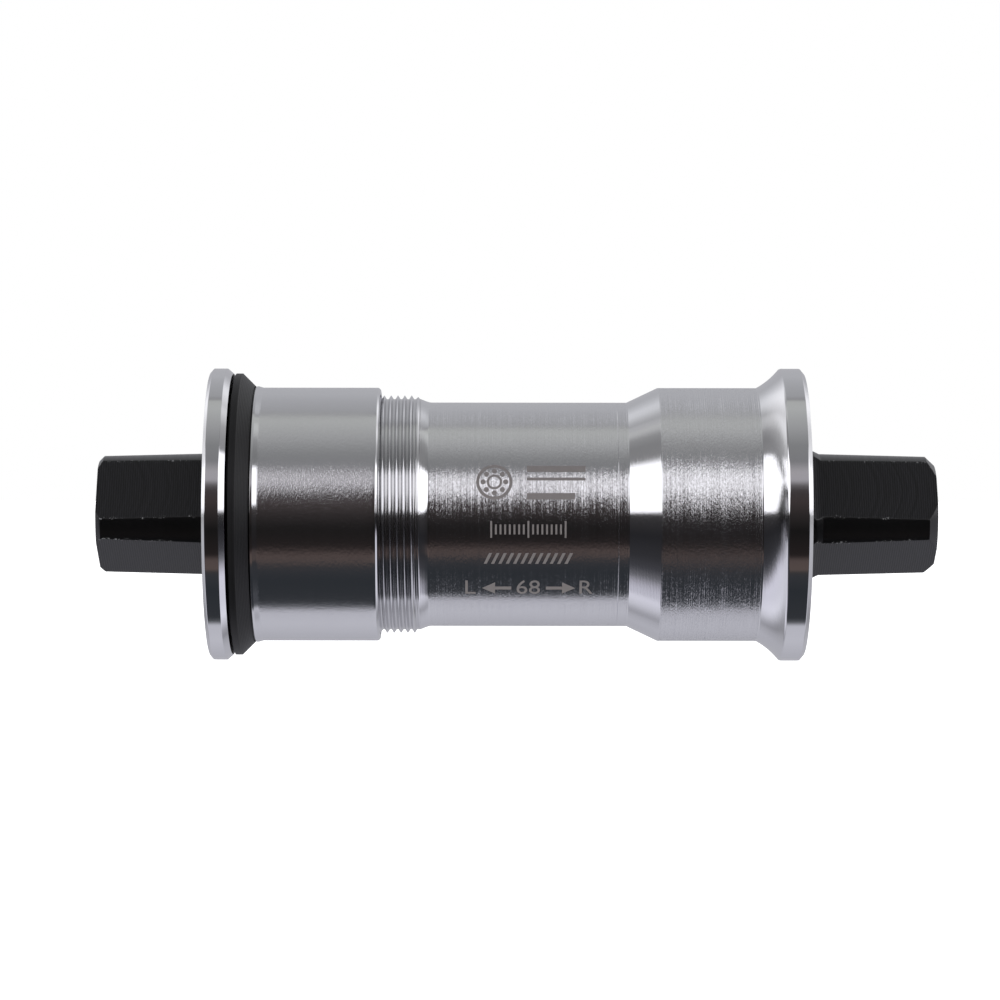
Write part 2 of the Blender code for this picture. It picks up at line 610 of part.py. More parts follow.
def build():
    for stale in list(bpy.data.objects):
        bpy.data.objects.remove(stale)
    group = collection("bottom_bracket")
    cutters = collection("bottom_bracket_cutters")

    plated = material("plated_steel", (0.72, 0.72, 0.74), 1.0, 0.22)
    looks = {
        "race": material("bearing_steel", (0.60, 0.60, 0.61), 1.0, 0.25),
        "ball": material("polished_balls", (0.78, 0.78, 0.79), 1.0, 0.08),
        "cage": material("cage_nylon", (0.55, 0.48, 0.33), 0.0, 0.5),
        "seal": material("seal_rubber", (0.02, 0.02, 0.022), 0.0, 0.6),
    }
    wedge = material("wedge_plastic", (0.04, 0.04, 0.045), 0.0, 0.5)
    oxide = material("black_oxide", (0.05, 0.05, 0.052), 1.0, 0.35)
    spring = material("spring_steel", (0.16, 0.15, 0.14), 1.0, 0.45)
    cap = material("cap_plastic", (0.03, 0.03, 0.032), 0.0, 0.45)

    still = axis_empty("shell_middle", None, group)
    spinning = axis_empty("spindle_axis", still, group)
    drive_rolling = axis_empty("drive_ball_axis", still, group)
    left_rolling = axis_empty("left_ball_axis", still, group)
    travelling = axis_empty("left_cup_travel", still, group)
    screwing = axis_empty("left_cup_axis", travelling, group)

    drive_side_body(still, plated, group, cutters)
    left_cup(screwing, plated, group, cutters)
    wedge_ring(travelling, wedge, group)
    spindle(spinning, oxide, group, cutters)
    bearing("drive", DRIVE_BEARING, x_drive_bearing, r_drive_seat, still, spinning, drive_rolling, looks,
            group, cutters)
    bearing("left", LEFT_BEARING, x_left_bearing, r_left_seat, still, spinning, left_rolling, looks,
            group, cutters)
    retaining_ring("drive_retaining_ring", x_drive_groove, r_drive_seat, still, spring, group)
    retaining_ring("left_retaining_ring", x_left_groove, r_left_seat, still, spring, group)
    dust_cap("drive_dust_cap", x_drive_cap, 1, r_drive_seat, still, cap, group)
    dust_cap("left_dust_cap", x_left_cap, -1, r_left_seat, still, cap, group)


build()
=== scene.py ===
import bmesh
import bpy
import numpy as np
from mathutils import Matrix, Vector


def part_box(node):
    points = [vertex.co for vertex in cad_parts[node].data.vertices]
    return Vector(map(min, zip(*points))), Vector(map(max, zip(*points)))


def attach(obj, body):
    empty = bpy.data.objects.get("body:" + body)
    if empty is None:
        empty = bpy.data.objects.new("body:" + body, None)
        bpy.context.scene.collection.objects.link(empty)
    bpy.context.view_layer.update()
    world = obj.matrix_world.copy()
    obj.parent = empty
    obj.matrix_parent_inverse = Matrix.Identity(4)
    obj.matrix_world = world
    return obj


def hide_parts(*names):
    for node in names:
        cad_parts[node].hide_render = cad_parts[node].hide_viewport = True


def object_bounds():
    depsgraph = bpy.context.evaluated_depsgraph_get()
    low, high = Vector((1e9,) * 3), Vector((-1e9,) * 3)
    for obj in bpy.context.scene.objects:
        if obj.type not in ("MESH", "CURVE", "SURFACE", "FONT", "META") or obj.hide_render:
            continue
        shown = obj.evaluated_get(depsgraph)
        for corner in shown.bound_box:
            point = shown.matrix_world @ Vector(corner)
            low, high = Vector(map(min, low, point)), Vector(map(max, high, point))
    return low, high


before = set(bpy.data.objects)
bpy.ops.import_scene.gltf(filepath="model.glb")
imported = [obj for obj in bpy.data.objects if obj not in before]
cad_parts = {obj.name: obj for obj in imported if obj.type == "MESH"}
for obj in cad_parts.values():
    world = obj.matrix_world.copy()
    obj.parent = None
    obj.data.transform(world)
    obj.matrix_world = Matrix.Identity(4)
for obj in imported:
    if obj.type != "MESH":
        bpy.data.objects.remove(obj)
cadLow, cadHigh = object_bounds()
print("frame loaded,", len(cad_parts), "pieces")

metre = 0.001  # every size below is in millimetres, and meshes are scaled by this at the end
degree = np.pi / 180

# Angles round the axis are counted from +Y towards +Z, and profiles are rows of (x, radius, satin).
# "Satin" says how much of a turned or blasted finish a place has. Below zero it is painted shade instead,
# which darkens the thread grooves and the gap under the wedge ring.


def boxOf(node):
    # lowest x, highest x and outer radius of a turned piece
    low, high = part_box(node)
    return low.x / metre, high.x / metre, high.z / metre


def rounded(corners, steps=5, support=0.03):
    # Corners are (x, radius, fillet, satin). Each fillet becomes an arc that is tangent to both of its
    # sides, with one more point just before and after it so that long walls stay flat in the shading.
    table = np.array(corners, float)
    rows = []
    for k in range(len(table)):
        here, fillet, satin = table[k, :2], table[k, 2], table[k, 3]
        if fillet <= 0:
            rows.append([*here, satin])
            continue
        before = table[k - 1, :2] - here
        after = table[(k + 1) % len(table), :2] - here
        lengths = np.linalg.norm(before), np.linalg.norm(after)
        u, v = before / lengths[0], after / lengths[1]
        half = np.arccos(np.clip(u @ v, -1, 1)) / 2
        reach = min(fillet / np.tan(half), 0.45 * min(lengths))
        fillet = reach * np.tan(half)
        middle = here + (u + v) / np.linalg.norm(u + v) * fillet / np.sin(half)
        turn = np.pi - 2 * half
        share = np.linspace(0, 1, steps + 1)[:, None]
        start, end = here + u * reach - middle, here + v * reach - middle
        arc = middle + (np.sin((1 - share) * turn) * start + np.sin(share * turn) * end) / np.sin(turn)
        extra = min(support, 0.04 * min(lengths))
        path = np.vstack([arc[0] + u * extra, arc, arc[-1] + v * extra])
        rows += [[*point, satin] for point in path]
    return np.array(rows)


def hollow(start, end, sag, satin, count=7):
    # Corners along a line that sags inwards by a parabola
    share = np.linspace(0, 1, count + 2)[1:-1, None]
    line = np.array(end, float) - np.array(start, float)
    inward = np.array([line[1], -line[0]]) * -np.sign(-line[0]) / np.linalg.norm(line)
    points = np.array(start, float) + line * share + inward * sag * 4 * share * (1 - share)
    return [(x, radius, 0, satin) for x, radius in points]


def meshFrom(name, points, faces, attributes=None, sharp=34):
    # One mesh object from arrays in millimetres: doubles merged, faces outwards, smooth with sharp edges
    mesh = bpy.data.meshes.new(name)
    mesh.from_pydata((points * metre).tolist(), [], faces.tolist())
    for label, values in (attributes or {}).items():
        mesh.attributes.new(label, "FLOAT", "POINT").data.foreach_set("value", values.astype(np.float32))
    work = bmesh.new()
    work.from_mesh(mesh)
    bmesh.ops.remove_doubles(work, verts=work.verts, dist=2e-8)
    bmesh.ops.dissolve_degenerate(work, edges=work.edges, dist=2e-8)
    bmesh.ops.recalc_face_normals(work, faces=work.faces)
    work.to_mesh(mesh)
    work.free()
    mesh.shade_smooth()
    mesh.set_sharp_from_angle(angle=sharp * degree)
    piece = bpy.data.objects.new(name, mesh)
    bpy.context.scene.collection.objects.link(piece)
    return piece


def gridFaces(rows, columns, closeRows=True, helix=None):
    # Quads of a grid whose columns close into a ring, and whose rows may too. A helix (start, stop,
    # shift) makes the last column meet the first one that many rows further on, between those rows.
    partner = np.arange(rows)
    if helix:
        start, stop, shift = helix
        partner[start:stop] = np.clip(partner[start:stop] + shift, start, stop - 1)
    j = np.arange(rows if closeRows else rows - 1)[:, None]
    i = np.arange(columns)[None, :]
    right, below, last = (i + 1) % columns, (j + 1) % rows, i == columns - 1
    quads = [j * columns + i, below * columns + i,
             np.where(last, partner[below], below) * columns + right,
             np.where(last, partner[j], j) * columns + right]
    return np.stack(np.broadcast_arrays(*quads), axis=-1).reshape(-1, 4)


def around(columns):
    # The columns' angles round the axis
    return np.arange(columns) * 2 * np.pi / columns


def roundSurface(name, x, radius, angle, attributes=None, closeRows=True, sharp=34, helix=None):
    # Point (j, i) lies at place x[j, i] on the axis, radius[j, i] from it, at angle[j, i] round it
    x, radius, angle = np.broadcast_arrays(x, radius, angle)
    points = np.stack([x, radius * np.cos(angle), radius * np.sin(angle)], axis=-1).reshape(-1, 3)
    spread = {label: np.broadcast_to(values, x.shape).ravel()
              for label, values in (attributes or {}).items()}
    return meshFrom(name, points, gridFaces(*x.shape, closeRows, helix), spread, sharp)


def turned(name, profile, columns=192, closeRows=True, sharp=34):
    # A profile of (x, radius, satin) rows turned about the axis
    x, radius, satin = profile[:, :1], profile[:, 1:2], profile[:, 2:3]
    return roundSurface(name, x, radius, around(columns), {"satin": satin}, closeRows, sharp)


def place(piece, body, slot, material, *nodes):
    # The piece moves with a body, takes a finish and stands for CAD nodes
    piece.data.materials.append(material)
    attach(piece, body)
    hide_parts(*nodes)
    return piece


thread = {
    "pitch": 25.4 / 28,
    "depth": 0.5,
    "fade": 0.7,        # length over which an end dies away
    "datum": 11.563,    # how far to the left of the shell's middle a groove crosses the +Y side
    "paintedShade": 0.22,        # how dark the painted shade at the foot of the flanks is
    "phases": (0.0, 0.13, 0.17, 0.31, 0.44, 0.47, 0.5, 0.53, 0.56, 0.69, 0.83, 0.87),
    "heights": (0.0, 0.07, 0.13, 0.52, 0.9, 0.97, 1.0, 0.97, 0.9, 0.52, 0.13, 0.07),
    # share of painted shade at each phase: darkest at the foot of each flank, where the groove lies in
    # shade
    "grooveShade": (0.8, 0.9, 1.0, 0.7, 0.0, 0.0, 0.0, 0.0, 0.0, 0.7, 1.0, 0.9),
}


def threadRows(fromX, toX, root, depth, angle):
    # Every row is one line of the helix: x climbs a pitch in a turn. The ridge's height at a row comes
    # from the row's phase between two grooves: round root, steep flank, round crest, flank. One turn
    # more than the length needs lies squeezed flat at each end, so that the seam finds its partner.
    low, high = min(fromX, toX), max(fromX, toX)
    first = np.floor((low + thread["datum"]) / thread["pitch"]) - 2
    last = np.ceil((high + thread["datum"]) / thread["pitch"])
    count = int(last - first + 1)
    turns = (np.arange(first, last + 1)[:, None] + np.array(thread["phases"])).reshape(-1, 1)
    ridge, grooveShade = (np.tile(thread[name], count)[:, None] for name in ("heights", "grooveShade"))
    if fromX > toX:
        turns, ridge, grooveShade = turns[::-1], ridge[::-1], grooveShade[::-1]
    x = np.clip(-thread["datum"] + thread["pitch"] * (turns + angle / (2 * np.pi)), low, high)
    fade = np.clip(np.minimum(x - low, high - x) / thread["fade"], 0, 1)
    # The third grid is the painted groove shade, given as satin below zero
    return x, root + depth * fade * ridge, -thread["paintedShade"] * grooveShade


splines = {
    "count": 20,
    "start": 0.225,     # share of the pitch from the +Y side to the middle of a gap
    "gap": 0.5,         # share of the pitch that a gap takes
    "tip": 15.2,
    "height": 0.7,
    "flank": 0.1,       # share of the pitch over which a flank rises
    "length": 5.1,
    "relief": 16.0,
    "mouth": 0.4,
}


def splineRadius(angle):
    # A square wave with sloping flanks: the tool's splines in a mouth, tips inwards
    phase = (angle * splines["count"] / (2 * np.pi)) % 1
    middle = np.abs(phase - splines["start"])
    away = np.minimum(middle, 1 - middle)
    rise = np.clip((splines["gap"] / 2 + splines["flank"] / 2 - away) / splines["flank"], 0, 1)
    return splines["tip"] + splines["height"] * rise


def stack(parts, columns):
    # Rows given as (x, radius, satin), each a number or a row of values, made into three full grids
    x, radius, satin = [], [], []
    for part in parts:
        rows = max(np.shape(value)[0] if np.ndim(value) == 2 else 1 for value in part)
        for grid, value in zip((x, radius, satin), part):
            grid.append(np.broadcast_to(value, (rows, columns)))
    return np.vstack(x), np.vstack(radius), np.vstack(satin)


driveSide = {
    "chamferWidth": 0.55,
    "chamferDepth": 0.65,
    "rimWidth": 2.6,
    "coneAngle": 40,
    "coneSag": 0.2,
    "throughRadius": 16.775,
    "cylinderLength": 13.1,
    "stepLength": 4.1,
    "sleeveRadius": 14.825,
    "turnedLine": 14.4,         # place of a fine line that the tool left on the sleeve
    "lineDepth": 0.02,
    "runOutLength": 1.25,
    "runOutPower": 1.25,        # 1 would be a straight cone, and more hollows it
    "threadRight": -11.4,
    "threadLeft": -24.2,
    "rootRadius": 15.25,
    "noseRadius": 15.1,
    "columns": 320,
}
nose, driveFace, driveRim = boxOf("drive_side_body")
driveSpline = driveFace - splines["length"]

bores = {
    "leftSeat": 13.0,
    "driveSeat": 15.0,
    "lip": 12.0,
    "lipWidth": 2,
    "middle": 13.2,
    "leftShoulder": 7.6,        # from the nose
    "leftGroove": 1.3,
    "driveShoulder": 10.8,      # from the splines
    "driveGroove": 3.7,
    "grooveWidth": 1.2,
    "grooveDepth": 0.55,
    "reliefWidth": 0.8,
}


def grooveCorners(start, seat):
    # A retaining ring's groove in a bearing seat
    stop, deep = start + bores["grooveWidth"], seat + bores["grooveDepth"]
    return [(start, seat, 0, 0.6), (start, deep, 0, 0.6), (stop, deep, 0, 0.6), (stop, seat, 0, 0.6)]


def driveSideBody():
    # Outer wall from the drive side's face to the nose, then the bores back to the face
    d = driveSide
    angle = around(d["columns"])
    through, sleeve = d["throughRadius"], d["sleeveRadius"]
    coneLarge = driveFace - d["chamferWidth"] - d["rimWidth"]
    coneSmall = coneLarge - (driveRim - through) / np.tan(d["coneAngle"] * degree)
    stepRight = coneSmall - d["cylinderLength"]
    stepLeft = stepRight - d["stepLength"]
    runOutRight = d["threadRight"] + d["runOutLength"]
    line = [(d["turnedLine"] + away, sleeve, 0, 0.7) for away in (0.14, 0.05, 0, -0.05, -0.14)]
    line[2] = (d["turnedLine"], sleeve - d["lineDepth"], 0, 0.0)
    outside = rounded([
        (driveFace, splines["tip"] + 1.2, 0, 0.3),
        (driveFace, driveRim - d["chamferDepth"], 0.12, 0.2),
        (driveFace - d["chamferWidth"], driveRim, 0.14, 0.0),
        (coneLarge, driveRim, 0.8, 0.0),
        *hollow((coneLarge, driveRim), (coneSmall, through), d["coneSag"], 0.1),
        (coneSmall, through, 0.12, 0.15),
        (coneSmall - 0.25, through, 0, 1.0),
        (stepRight + 0.12, through, 0, 1.0),
        (stepRight, through, 0.1, 0.1),
        (stepLeft, sleeve, 0.3, 0.1),
        (stepLeft - 0.2, sleeve, 0, 0.7),
        *line,
        (runOutRight + 0.06, sleeve, 0, 0.7),
        (runOutRight, sleeve, 0, 0.5),
    ])[1:]
    share = np.linspace(0.1, 1, 12)[:, None]    # the run-out rises as a power of the way along it
    rise = (d["rootRadius"] - sleeve) * share ** d["runOutPower"]
    runOut = (d["threadRight"] + d["runOutLength"] * (1 - share), sleeve + rise, 0.1)
    # The thread's rows carry painted shade at the foot of the flanks, as satin below zero
    ridge = threadRows(d["threadRight"], d["threadLeft"], d["rootRadius"], thread["depth"], angle)
    leftSeat, driveSeat, lip, middle = (bores[name] for name in ("leftSeat", "driveSeat", "lip", "middle"))
    leftShoulder, driveShoulder = nose + bores["leftShoulder"], driveSpline - bores["driveShoulder"]
    lipEnd, reliefStart = leftShoulder + bores["lipWidth"], driveSpline - bores["reliefWidth"]
    inside = rounded([
        (d["threadLeft"] - 0.15, d["noseRadius"], 0, 0.3),
        (nose, d["noseRadius"], 0.3, 0.3),
        (nose, leftSeat, 0.15, 0.5),
        *grooveCorners(nose + bores["leftGroove"], leftSeat),
        (leftShoulder, leftSeat, 0, 0.6), (leftShoulder, lip, 0.15, 0.6),
        (lipEnd, lip, 0, 0.6), (lipEnd, middle, 0, 0.9),
        (driveShoulder, middle, 0, 0.9), (driveShoulder, driveSeat, 0, 0.6),
        *grooveCorners(driveSpline - bores["driveGroove"], driveSeat),
        (reliefStart, driveSeat, 0, 0.6), (reliefStart, splines["relief"], 0, 0.6),
        (driveSpline, splines["relief"], 0, 0.6),
    ])
    teeth = splineRadius(angle)
    mouth = [(driveSpline, teeth, 0.5), (driveFace - splines["mouth"], teeth, 0.4),
             (driveFace, np.maximum(teeth, splines["tip"] + splines["mouth"]), 0.3)]
    x, radius, satin = stack([tuple(outside.T[:, :, None]), runOut, ridge,
                              tuple(inside.T[:, :, None]), *mouth], d["columns"])
    start = len(outside) + len(share)
    helix = start, start + len(ridge[0]), -len(thread["phases"])
    return roundSurface("driveSideBody", x, radius, angle, {"satin": satin}, helix=helix)


leftSide = {
    "chamferWidth": 0.55,
    "chamferDepth": 0.65,
    "rimWidth": 1.75,
    "backWidth": 0.75,
    "sleeveRadius": 16.775,
    "collar": (6.15, 6.45, 7.05),   # lip that keeps the wedge ring, from the cup's face
    "collarHeight": 0.175,
    "endChamfer": 0.25,
    "threadWidth": 6.3,
    "clearance": 0.12,
    "columns": 320,
}
cupFace, cupEnd, cupRim = boxOf("left_cup")
cupSpline = cupFace + splines["length"]


def leftCup():
    # Outer wall from the threaded end to the cup's face, then the splined mouth and the inner thread
    d = leftSide
    angle = around(d["columns"])
    sleeve, back = d["sleeveRadius"], cupFace + d["chamferWidth"] + d["rimWidth"]
    bottom = back + d["backWidth"]
    collarLeft, collarRight, taperEnd = (cupFace + away for away in d["collar"])
    crest = driveSide["rootRadius"] + d["clearance"]
    threadRight = cupEnd - thread["depth"]
    threadLeft = threadRight - d["threadWidth"]
    outside = rounded([
        (cupEnd, crest + thread["depth"], 0, 0.2),
        (cupEnd, sleeve - d["endChamfer"], 0.06, 0.1),
        (cupEnd - d["endChamfer"], sleeve, 0.1, 0.1),
        (cupEnd - 0.7, sleeve, 0, 0.9),
        (taperEnd + 0.1, sleeve, 0, 0.9),
        (taperEnd, sleeve, 0.2, 0.1),
        (collarRight, sleeve + d["collarHeight"], 0.08, 0.1),
        (collarLeft, sleeve + d["collarHeight"], 0.05, 0.1),
        # From the collar to the flange's back face satin is below zero: painted shadow in the gap under the
        # wedge ring
        (collarLeft, sleeve, 0, -1.0),
        (bottom, sleeve, 0.1, -1.0),
        (bottom, cupRim - d["chamferDepth"] - 0.1, 0, -1.0),
        (bottom, cupRim - d["chamferDepth"], 0.05, 0.0),
        (back, cupRim, 0.14, 0.0),
        (cupFace + d["chamferWidth"], cupRim, 0.14, 0.0),
        (cupFace, cupRim - d["chamferDepth"], 0.12, 0.2),
    ])
    teeth = splineRadius(angle)
    mouth = [(cupFace, np.maximum(teeth, splines["tip"] + splines["mouth"]), 0.3),
             (cupFace + splines["mouth"], teeth, 0.4), (cupSpline, teeth, 0.5),
             (cupSpline, splines["relief"], 0.6), (threadLeft - d["clearance"], splines["relief"], 0.6),
             (threadLeft, crest + thread["depth"], 0.4)]
    # The inner thread's rows carry the same painted groove shade, as satin below zero
    x, radius, grooveShade = threadRows(threadLeft, threadRight, crest, thread["depth"], angle + np.pi)
    inner = (x, 2 * crest + thread["depth"] - radius, grooveShade)    # a groove where the body has a ridge
    x, radius, satin = stack([tuple(outside.T[:, :, None]), *mouth, inner], d["columns"])
    helix = len(outside) + len(mouth), len(x), len(thread["phases"])
    return roundSurface("leftCup", x, radius, angle, {"satin": satin}, helix=helix)


ring = {
    "coneAngle": 45,
    "bore": 16.875,
    "rimWidth": 0.85,
    "ridges": 9,
    "ridgeHeight": 0.0126,      # along the axis and across it
}
ringLeft, ringRight, ringRim = boxOf("wedge_ring")


def wedgeRing():
    # Cone with fine ridges from moulding: the wall is lowered by a cosine along it
    coneLength, bore = ringRight - ringLeft - ring["rimWidth"], ring["bore"]
    small = ringRim - coneLength * np.tan(ring["coneAngle"] * degree)
    share = np.linspace(0.03, 0.97, 8 * ring["ridges"])
    dip = ring["ridgeHeight"] * (1 + np.cos(share * ring["ridges"] * 2 * np.pi)) / 2
    edge = ringLeft + ring["rimWidth"]
    cone = np.column_stack([ringRight + (edge - ringRight) * share - dip,
                            small + (ringRim - small) * share - dip, np.full(share.size, 0.5)])
    ends = rounded([(ringRight, bore, 0, 0.5), (ringRight, small, 0.02, 0.5), (edge, ringRim, 0.06, 0.5),
                    (ringLeft, ringRim, 0.05, 0.5), (ringLeft, bore, 0.05, 0.5)])
    split = np.argmax(ends[:, 1] > (small + ringRim) / 2)
    return turned("wedgeRing", np.vstack([ends[:split], cone, ends[split:]]), 256, sharp=60)


spindleSize = {
    "shaft": 8.5,
    "middle": 9.6,
    "seats": (-21.25, 23.276),      # the thicker middle lies between these
    "seatChamfer": 0.15,
    "flatLength": 15.2,
    "endHalf": 6.3,                 # half the square at the end
    "taperAngle": 2,
    "cutter": 2.5,                  # radius of the milling cutter's run-out
    "turn": 149.7,                  # first flat's normal, in degrees
    "blankEnd": 7.7,
    "blankRoot": 8.05,
    "blankStep": 0.9,               # length over which the blank rises to the shaft
    "chamferLength": (0.62, 1.2),   # left end, right end
    "chamferDepth": (0.62, 1.1),
    "hole": 3.5,
    "holeDepth": 20,
    "sink": 4.3,
    "edgeRound": 0.035,
    "edgeBand": 0.22,
}
spindleLeft, spindleRight = boxOf("spindle")[:2]


def spindlePiece():
    # The radius at a place and an angle is the smaller of the round blank's and that of the nearest flat,
    # half / cos(angle from the flat's normal). Columns follow the edges between the flats and the blank.
    s = spindleSize
    length = spindleRight - spindleLeft
    near = np.concatenate([np.linspace(0, 0.65, 5), np.linspace(0.75, 1.2, 4),
                           np.linspace(1.6, s["flatLength"], 16),
                           s["flatLength"] + np.linspace(0.1, s["cutter"] * 0.99, 14), [19.5, 20.5]])
    seatLeft, seatRight = (seat - spindleLeft for seat in s["seats"])
    chamfer = s["seatChamfer"]
    middle = [seatLeft - 0.02, seatLeft, seatLeft + chamfer, seatLeft + 0.2, length / 2,
              seatRight - 0.2, seatRight - chamfer, seatRight, seatRight + 0.02]
    distance = np.concatenate([near, middle, length - near[::-1]])[:, None]
    end = np.minimum(distance, length - distance)
    blank = np.interp(end, [0, s["flatLength"], s["flatLength"] + s["blankStep"]],
                      [s["blankEnd"], s["blankRoot"], s["shaft"]])
    for away, long, deep in zip((distance, length - distance), s["chamferLength"], s["chamferDepth"]):
        blank = blank - deep * np.clip(1 - away / long, 0, 1)
    inMiddle = np.interp(distance, [seatLeft, seatLeft + chamfer, seatRight - chamfer, seatRight],
                         [0, 1, 1, 0])
    blank = blank + (s["middle"] - s["shaft"]) * (0.85 * (inMiddle > 0) + 0.15 * inMiddle)
    past = np.clip(end - s["flatLength"], 0, s["cutter"] * 0.995)
    half = (s["endHalf"] + np.minimum(end, s["flatLength"]) * np.tan(s["taperAngle"] * degree)
            + s["cutter"] - np.sqrt(s["cutter"] ** 2 - past ** 2))
    half = np.where(end > s["flatLength"] + s["cutter"], 99, half)
    reach = np.maximum(np.arccos(np.clip(half / blank, 0, 1)), 3 * degree)
    flatShare = np.concatenate([[-1, -0.992, -0.975], np.linspace(-0.93, 0.93, 13), [0.975, 0.992]])
    cornerShare = np.concatenate([[0, 0.012, 0.035], np.linspace(0.08, 0.92, 20), [0.965, 0.988]])
    local = np.concatenate([reach * flatShare, reach + (np.pi / 2 - 2 * reach) * cornerShare], axis=1)
    fromFlat = np.where(local > np.pi / 4, np.pi / 2 - local, local)
    flat = half / np.cos(fromFlat)
    soft = np.where(np.abs(flat - blank) < 1, s["edgeRound"], 0)
    radius = (flat + blank - np.sqrt((flat - blank) ** 2 + soft ** 2)) / 2
    edge = np.clip(1 - np.abs(np.abs(fromFlat) - reach) * blank / s["edgeBand"], 0, 1)
    edge = edge * (end < s["flatLength"] + 1)
    milled = np.clip((blank - radius) / 0.05, 0, 1) * (end < s["flatLength"] + 1.6)
    quarter = np.arange(4) * np.pi / 2 + s["turn"] * degree
    angle = np.concatenate([local + q for q in quarter], axis=1)
    radius, edge, milled = (np.tile(grid, 4) for grid in (radius, edge, milled))
    columns = angle.shape[1]
    x = np.broadcast_to(spindleLeft + distance, radius.shape)

    def boltHole(side):
        # Rows from the rim of the end face to the drilled tip, on the axis
        hole, sink, deep = s["hole"], s["sink"], s["holeDepth"]
        depth = np.array([0.0, 0.06, sink - hole, 1.0, deep, deep + hole * 0.6])
        wall = np.array([sink + 0.06, sink, hole, hole, hole, 0])
        inward = spindleLeft + depth if side < 0 else spindleRight - depth
        return [np.broadcast_to(values[:, None], (depth.size, columns)) for values in (inward, wall)]

    leftHole, rightHole = boltHole(-1), boltHole(1)
    x = np.vstack([leftHole[0][::-1], x, rightHole[0]])
    radius = np.vstack([leftHole[1][::-1], radius, rightHole[1]])
    plain = np.zeros((len(leftHole[0]), columns))
    angle = np.vstack([angle[:1] + plain, angle, angle[-1:] + plain])
    attributes = {name: np.vstack([plain, grid, plain])
                  for name, grid in (("edge", edge), ("milled", milled))}
    return roundSurface("spindle", x, radius, angle, attributes, closeRows=False, sharp=24)


bearings = {
    "drive": {"ball": 3.9, "count": 10, "seal": 0.7, "inset": 0.15, "rail": 0.5,
              "ends": ("inboard", "outboard")},
    "left": {"ball": 2.7, "count": 13, "seal": 0.5, "inset": 0.1, "rail": 0.4,
             "ends": ("outboard", "inboard")},
}
race = {
    "land": 0.62,       # this one and the next two are shares of the ball's radius
    "cage": 0.36,
    "sealStep": 0.36,
    "clearance": 0.04,
    "bore": 8.53,
}
seal = {"dish": 0.12, "slope": 0.15, "rim": 0.45, "rimGap": 0.04, "lip": 0.35, "lipGap": 0.17}


def grooveArc(middle, pitchRadius, reach, land, outwards):
    # Points of a ball track: a circle of that reach about the ball's middle, cut off at the land
    spread = np.arccos(abs(land - pitchRadius) / reach)
    turn = np.linspace(-spread, spread, 25)
    return np.column_stack([middle + reach * np.sin(turn), pitchRadius + outwards * reach * np.cos(turn),
                            np.full(turn.size, 0.02)])


def buildBearing(side, finishes):
    d = bearings[side]
    low, high, outer = boxOf(side + "_bearing_outer_race")
    middle, ball = (low + high) / 2, d["ball"] / 2
    pitchRadius = (outer + race["bore"]) / 2
    reach = ball + race["clearance"]
    landIn, landOut = pitchRadius - race["land"] * ball, pitchRadius + race["land"] * ball
    seat = landOut + race["sealStep"] * ball
    depth = d["inset"] + d["seal"] + 0.03
    wall = rounded([(high, seat, 0.05, 0.3), (high, outer, 0.35, 0.3), (low, outer, 0.35, 0.3),
                    (low, seat, 0.05, 0.3), (low + depth, seat, 0, 0.3), (low + depth, landOut, 0, 0.2)])
    track = grooveArc(middle, pitchRadius, reach, landOut, 1)
    rest = rounded([(high - depth, landOut, 0, 0.2), (high - depth, seat, 0, 0.3)])
    place(turned(side + "OuterRace", np.vstack([wall, track, rest]), 128), "housing", "bearing_steel",
          finishes["race"], side + "_bearing_outer_race")
    track = grooveArc(middle, pitchRadius, reach, landIn, -1)[::-1]
    rest = rounded([(low, landIn, 0.1, 0.2), (low, race["bore"], 0.3, 0.3),
                    (high, race["bore"], 0.3, 0.3), (high, landIn, 0.1, 0.2)])
    place(turned(side + "InnerRace", np.vstack([track, rest]), 128), "spindle", "bearing_steel",
          finishes["race"], side + "_bearing_inner_race")
    lip, rim, dish = landIn + seal["lipGap"], seat - seal["rimGap"], seal["dish"]
    lipOut, rimIn = lip + seal["lip"], rim - seal["rim"]
    for end, start in zip(d["ends"], (low + d["inset"], high - d["inset"] - d["seal"])):
        stop = start + d["seal"]
        loop = [(stop, rim, 0.06), (start, rim, 0.06), (start, rimIn, 0.05),
                (start + dish, rimIn - seal["slope"], 0.05), (start + dish, lipOut + seal["slope"], 0.05),
                (start, lipOut, 0.05), (start, lip, 0.06), (stop, lip, 0.06), (stop, lipOut, 0.05),
                (stop - dish, lipOut + seal["slope"], 0.05), (stop - dish, rimIn - seal["slope"], 0.05),
                (stop, rimIn, 0.05)]
        profile = rounded([(*corner, 0.5) for corner in loop], steps=3)
        place(turned(f"{side}{end.title()}Seal", profile, 128), "housing", "seal_rubber",
              finishes["seal"], f"{side}_bearing_{end}_seal")
    buildCage(side, middle, ball, pitchRadius, finishes)
    for number in range(d["count"]):
        buildBall(side, number, middle, ball, pitchRadius, finishes)


def buildCage(side, middle, ball, pitchRadius, finishes):
    # A crown cage: a ring on one side whose free edge dips round each ball along a circle
    d = bearings[side]
    columns = d["count"] * 36
    angle = around(columns)
    pitch = 2 * np.pi / d["count"]
    along = pitchRadius * (np.abs((angle + pitch / 2) % pitch - pitch / 2))
    pocket = ball + race["clearance"]
    edge = np.where(along < pocket, -np.sqrt(np.maximum(pocket ** 2 - along ** 2, 0)), 0.3 * ball)
    back = middle - ball - d["rail"]
    inner, outer = pitchRadius - race["cage"] * ball, pitchRadius + race["cage"] * ball
    loop = [(back, inner + 0.1), (back, outer - 0.1), (back + 0.1, outer), (middle + edge, outer),
            (middle + edge, inner), (back + 0.1, inner)]
    x, radius, satin = stack([(*row, 0.5) for row in loop], columns)
    piece = roundSurface(side + "Cage", x, radius, angle, {"satin": satin}, sharp=30)
    place(piece, side + "_balls", "cage_nylon", finishes["cage"], side + "_bearing_cage")


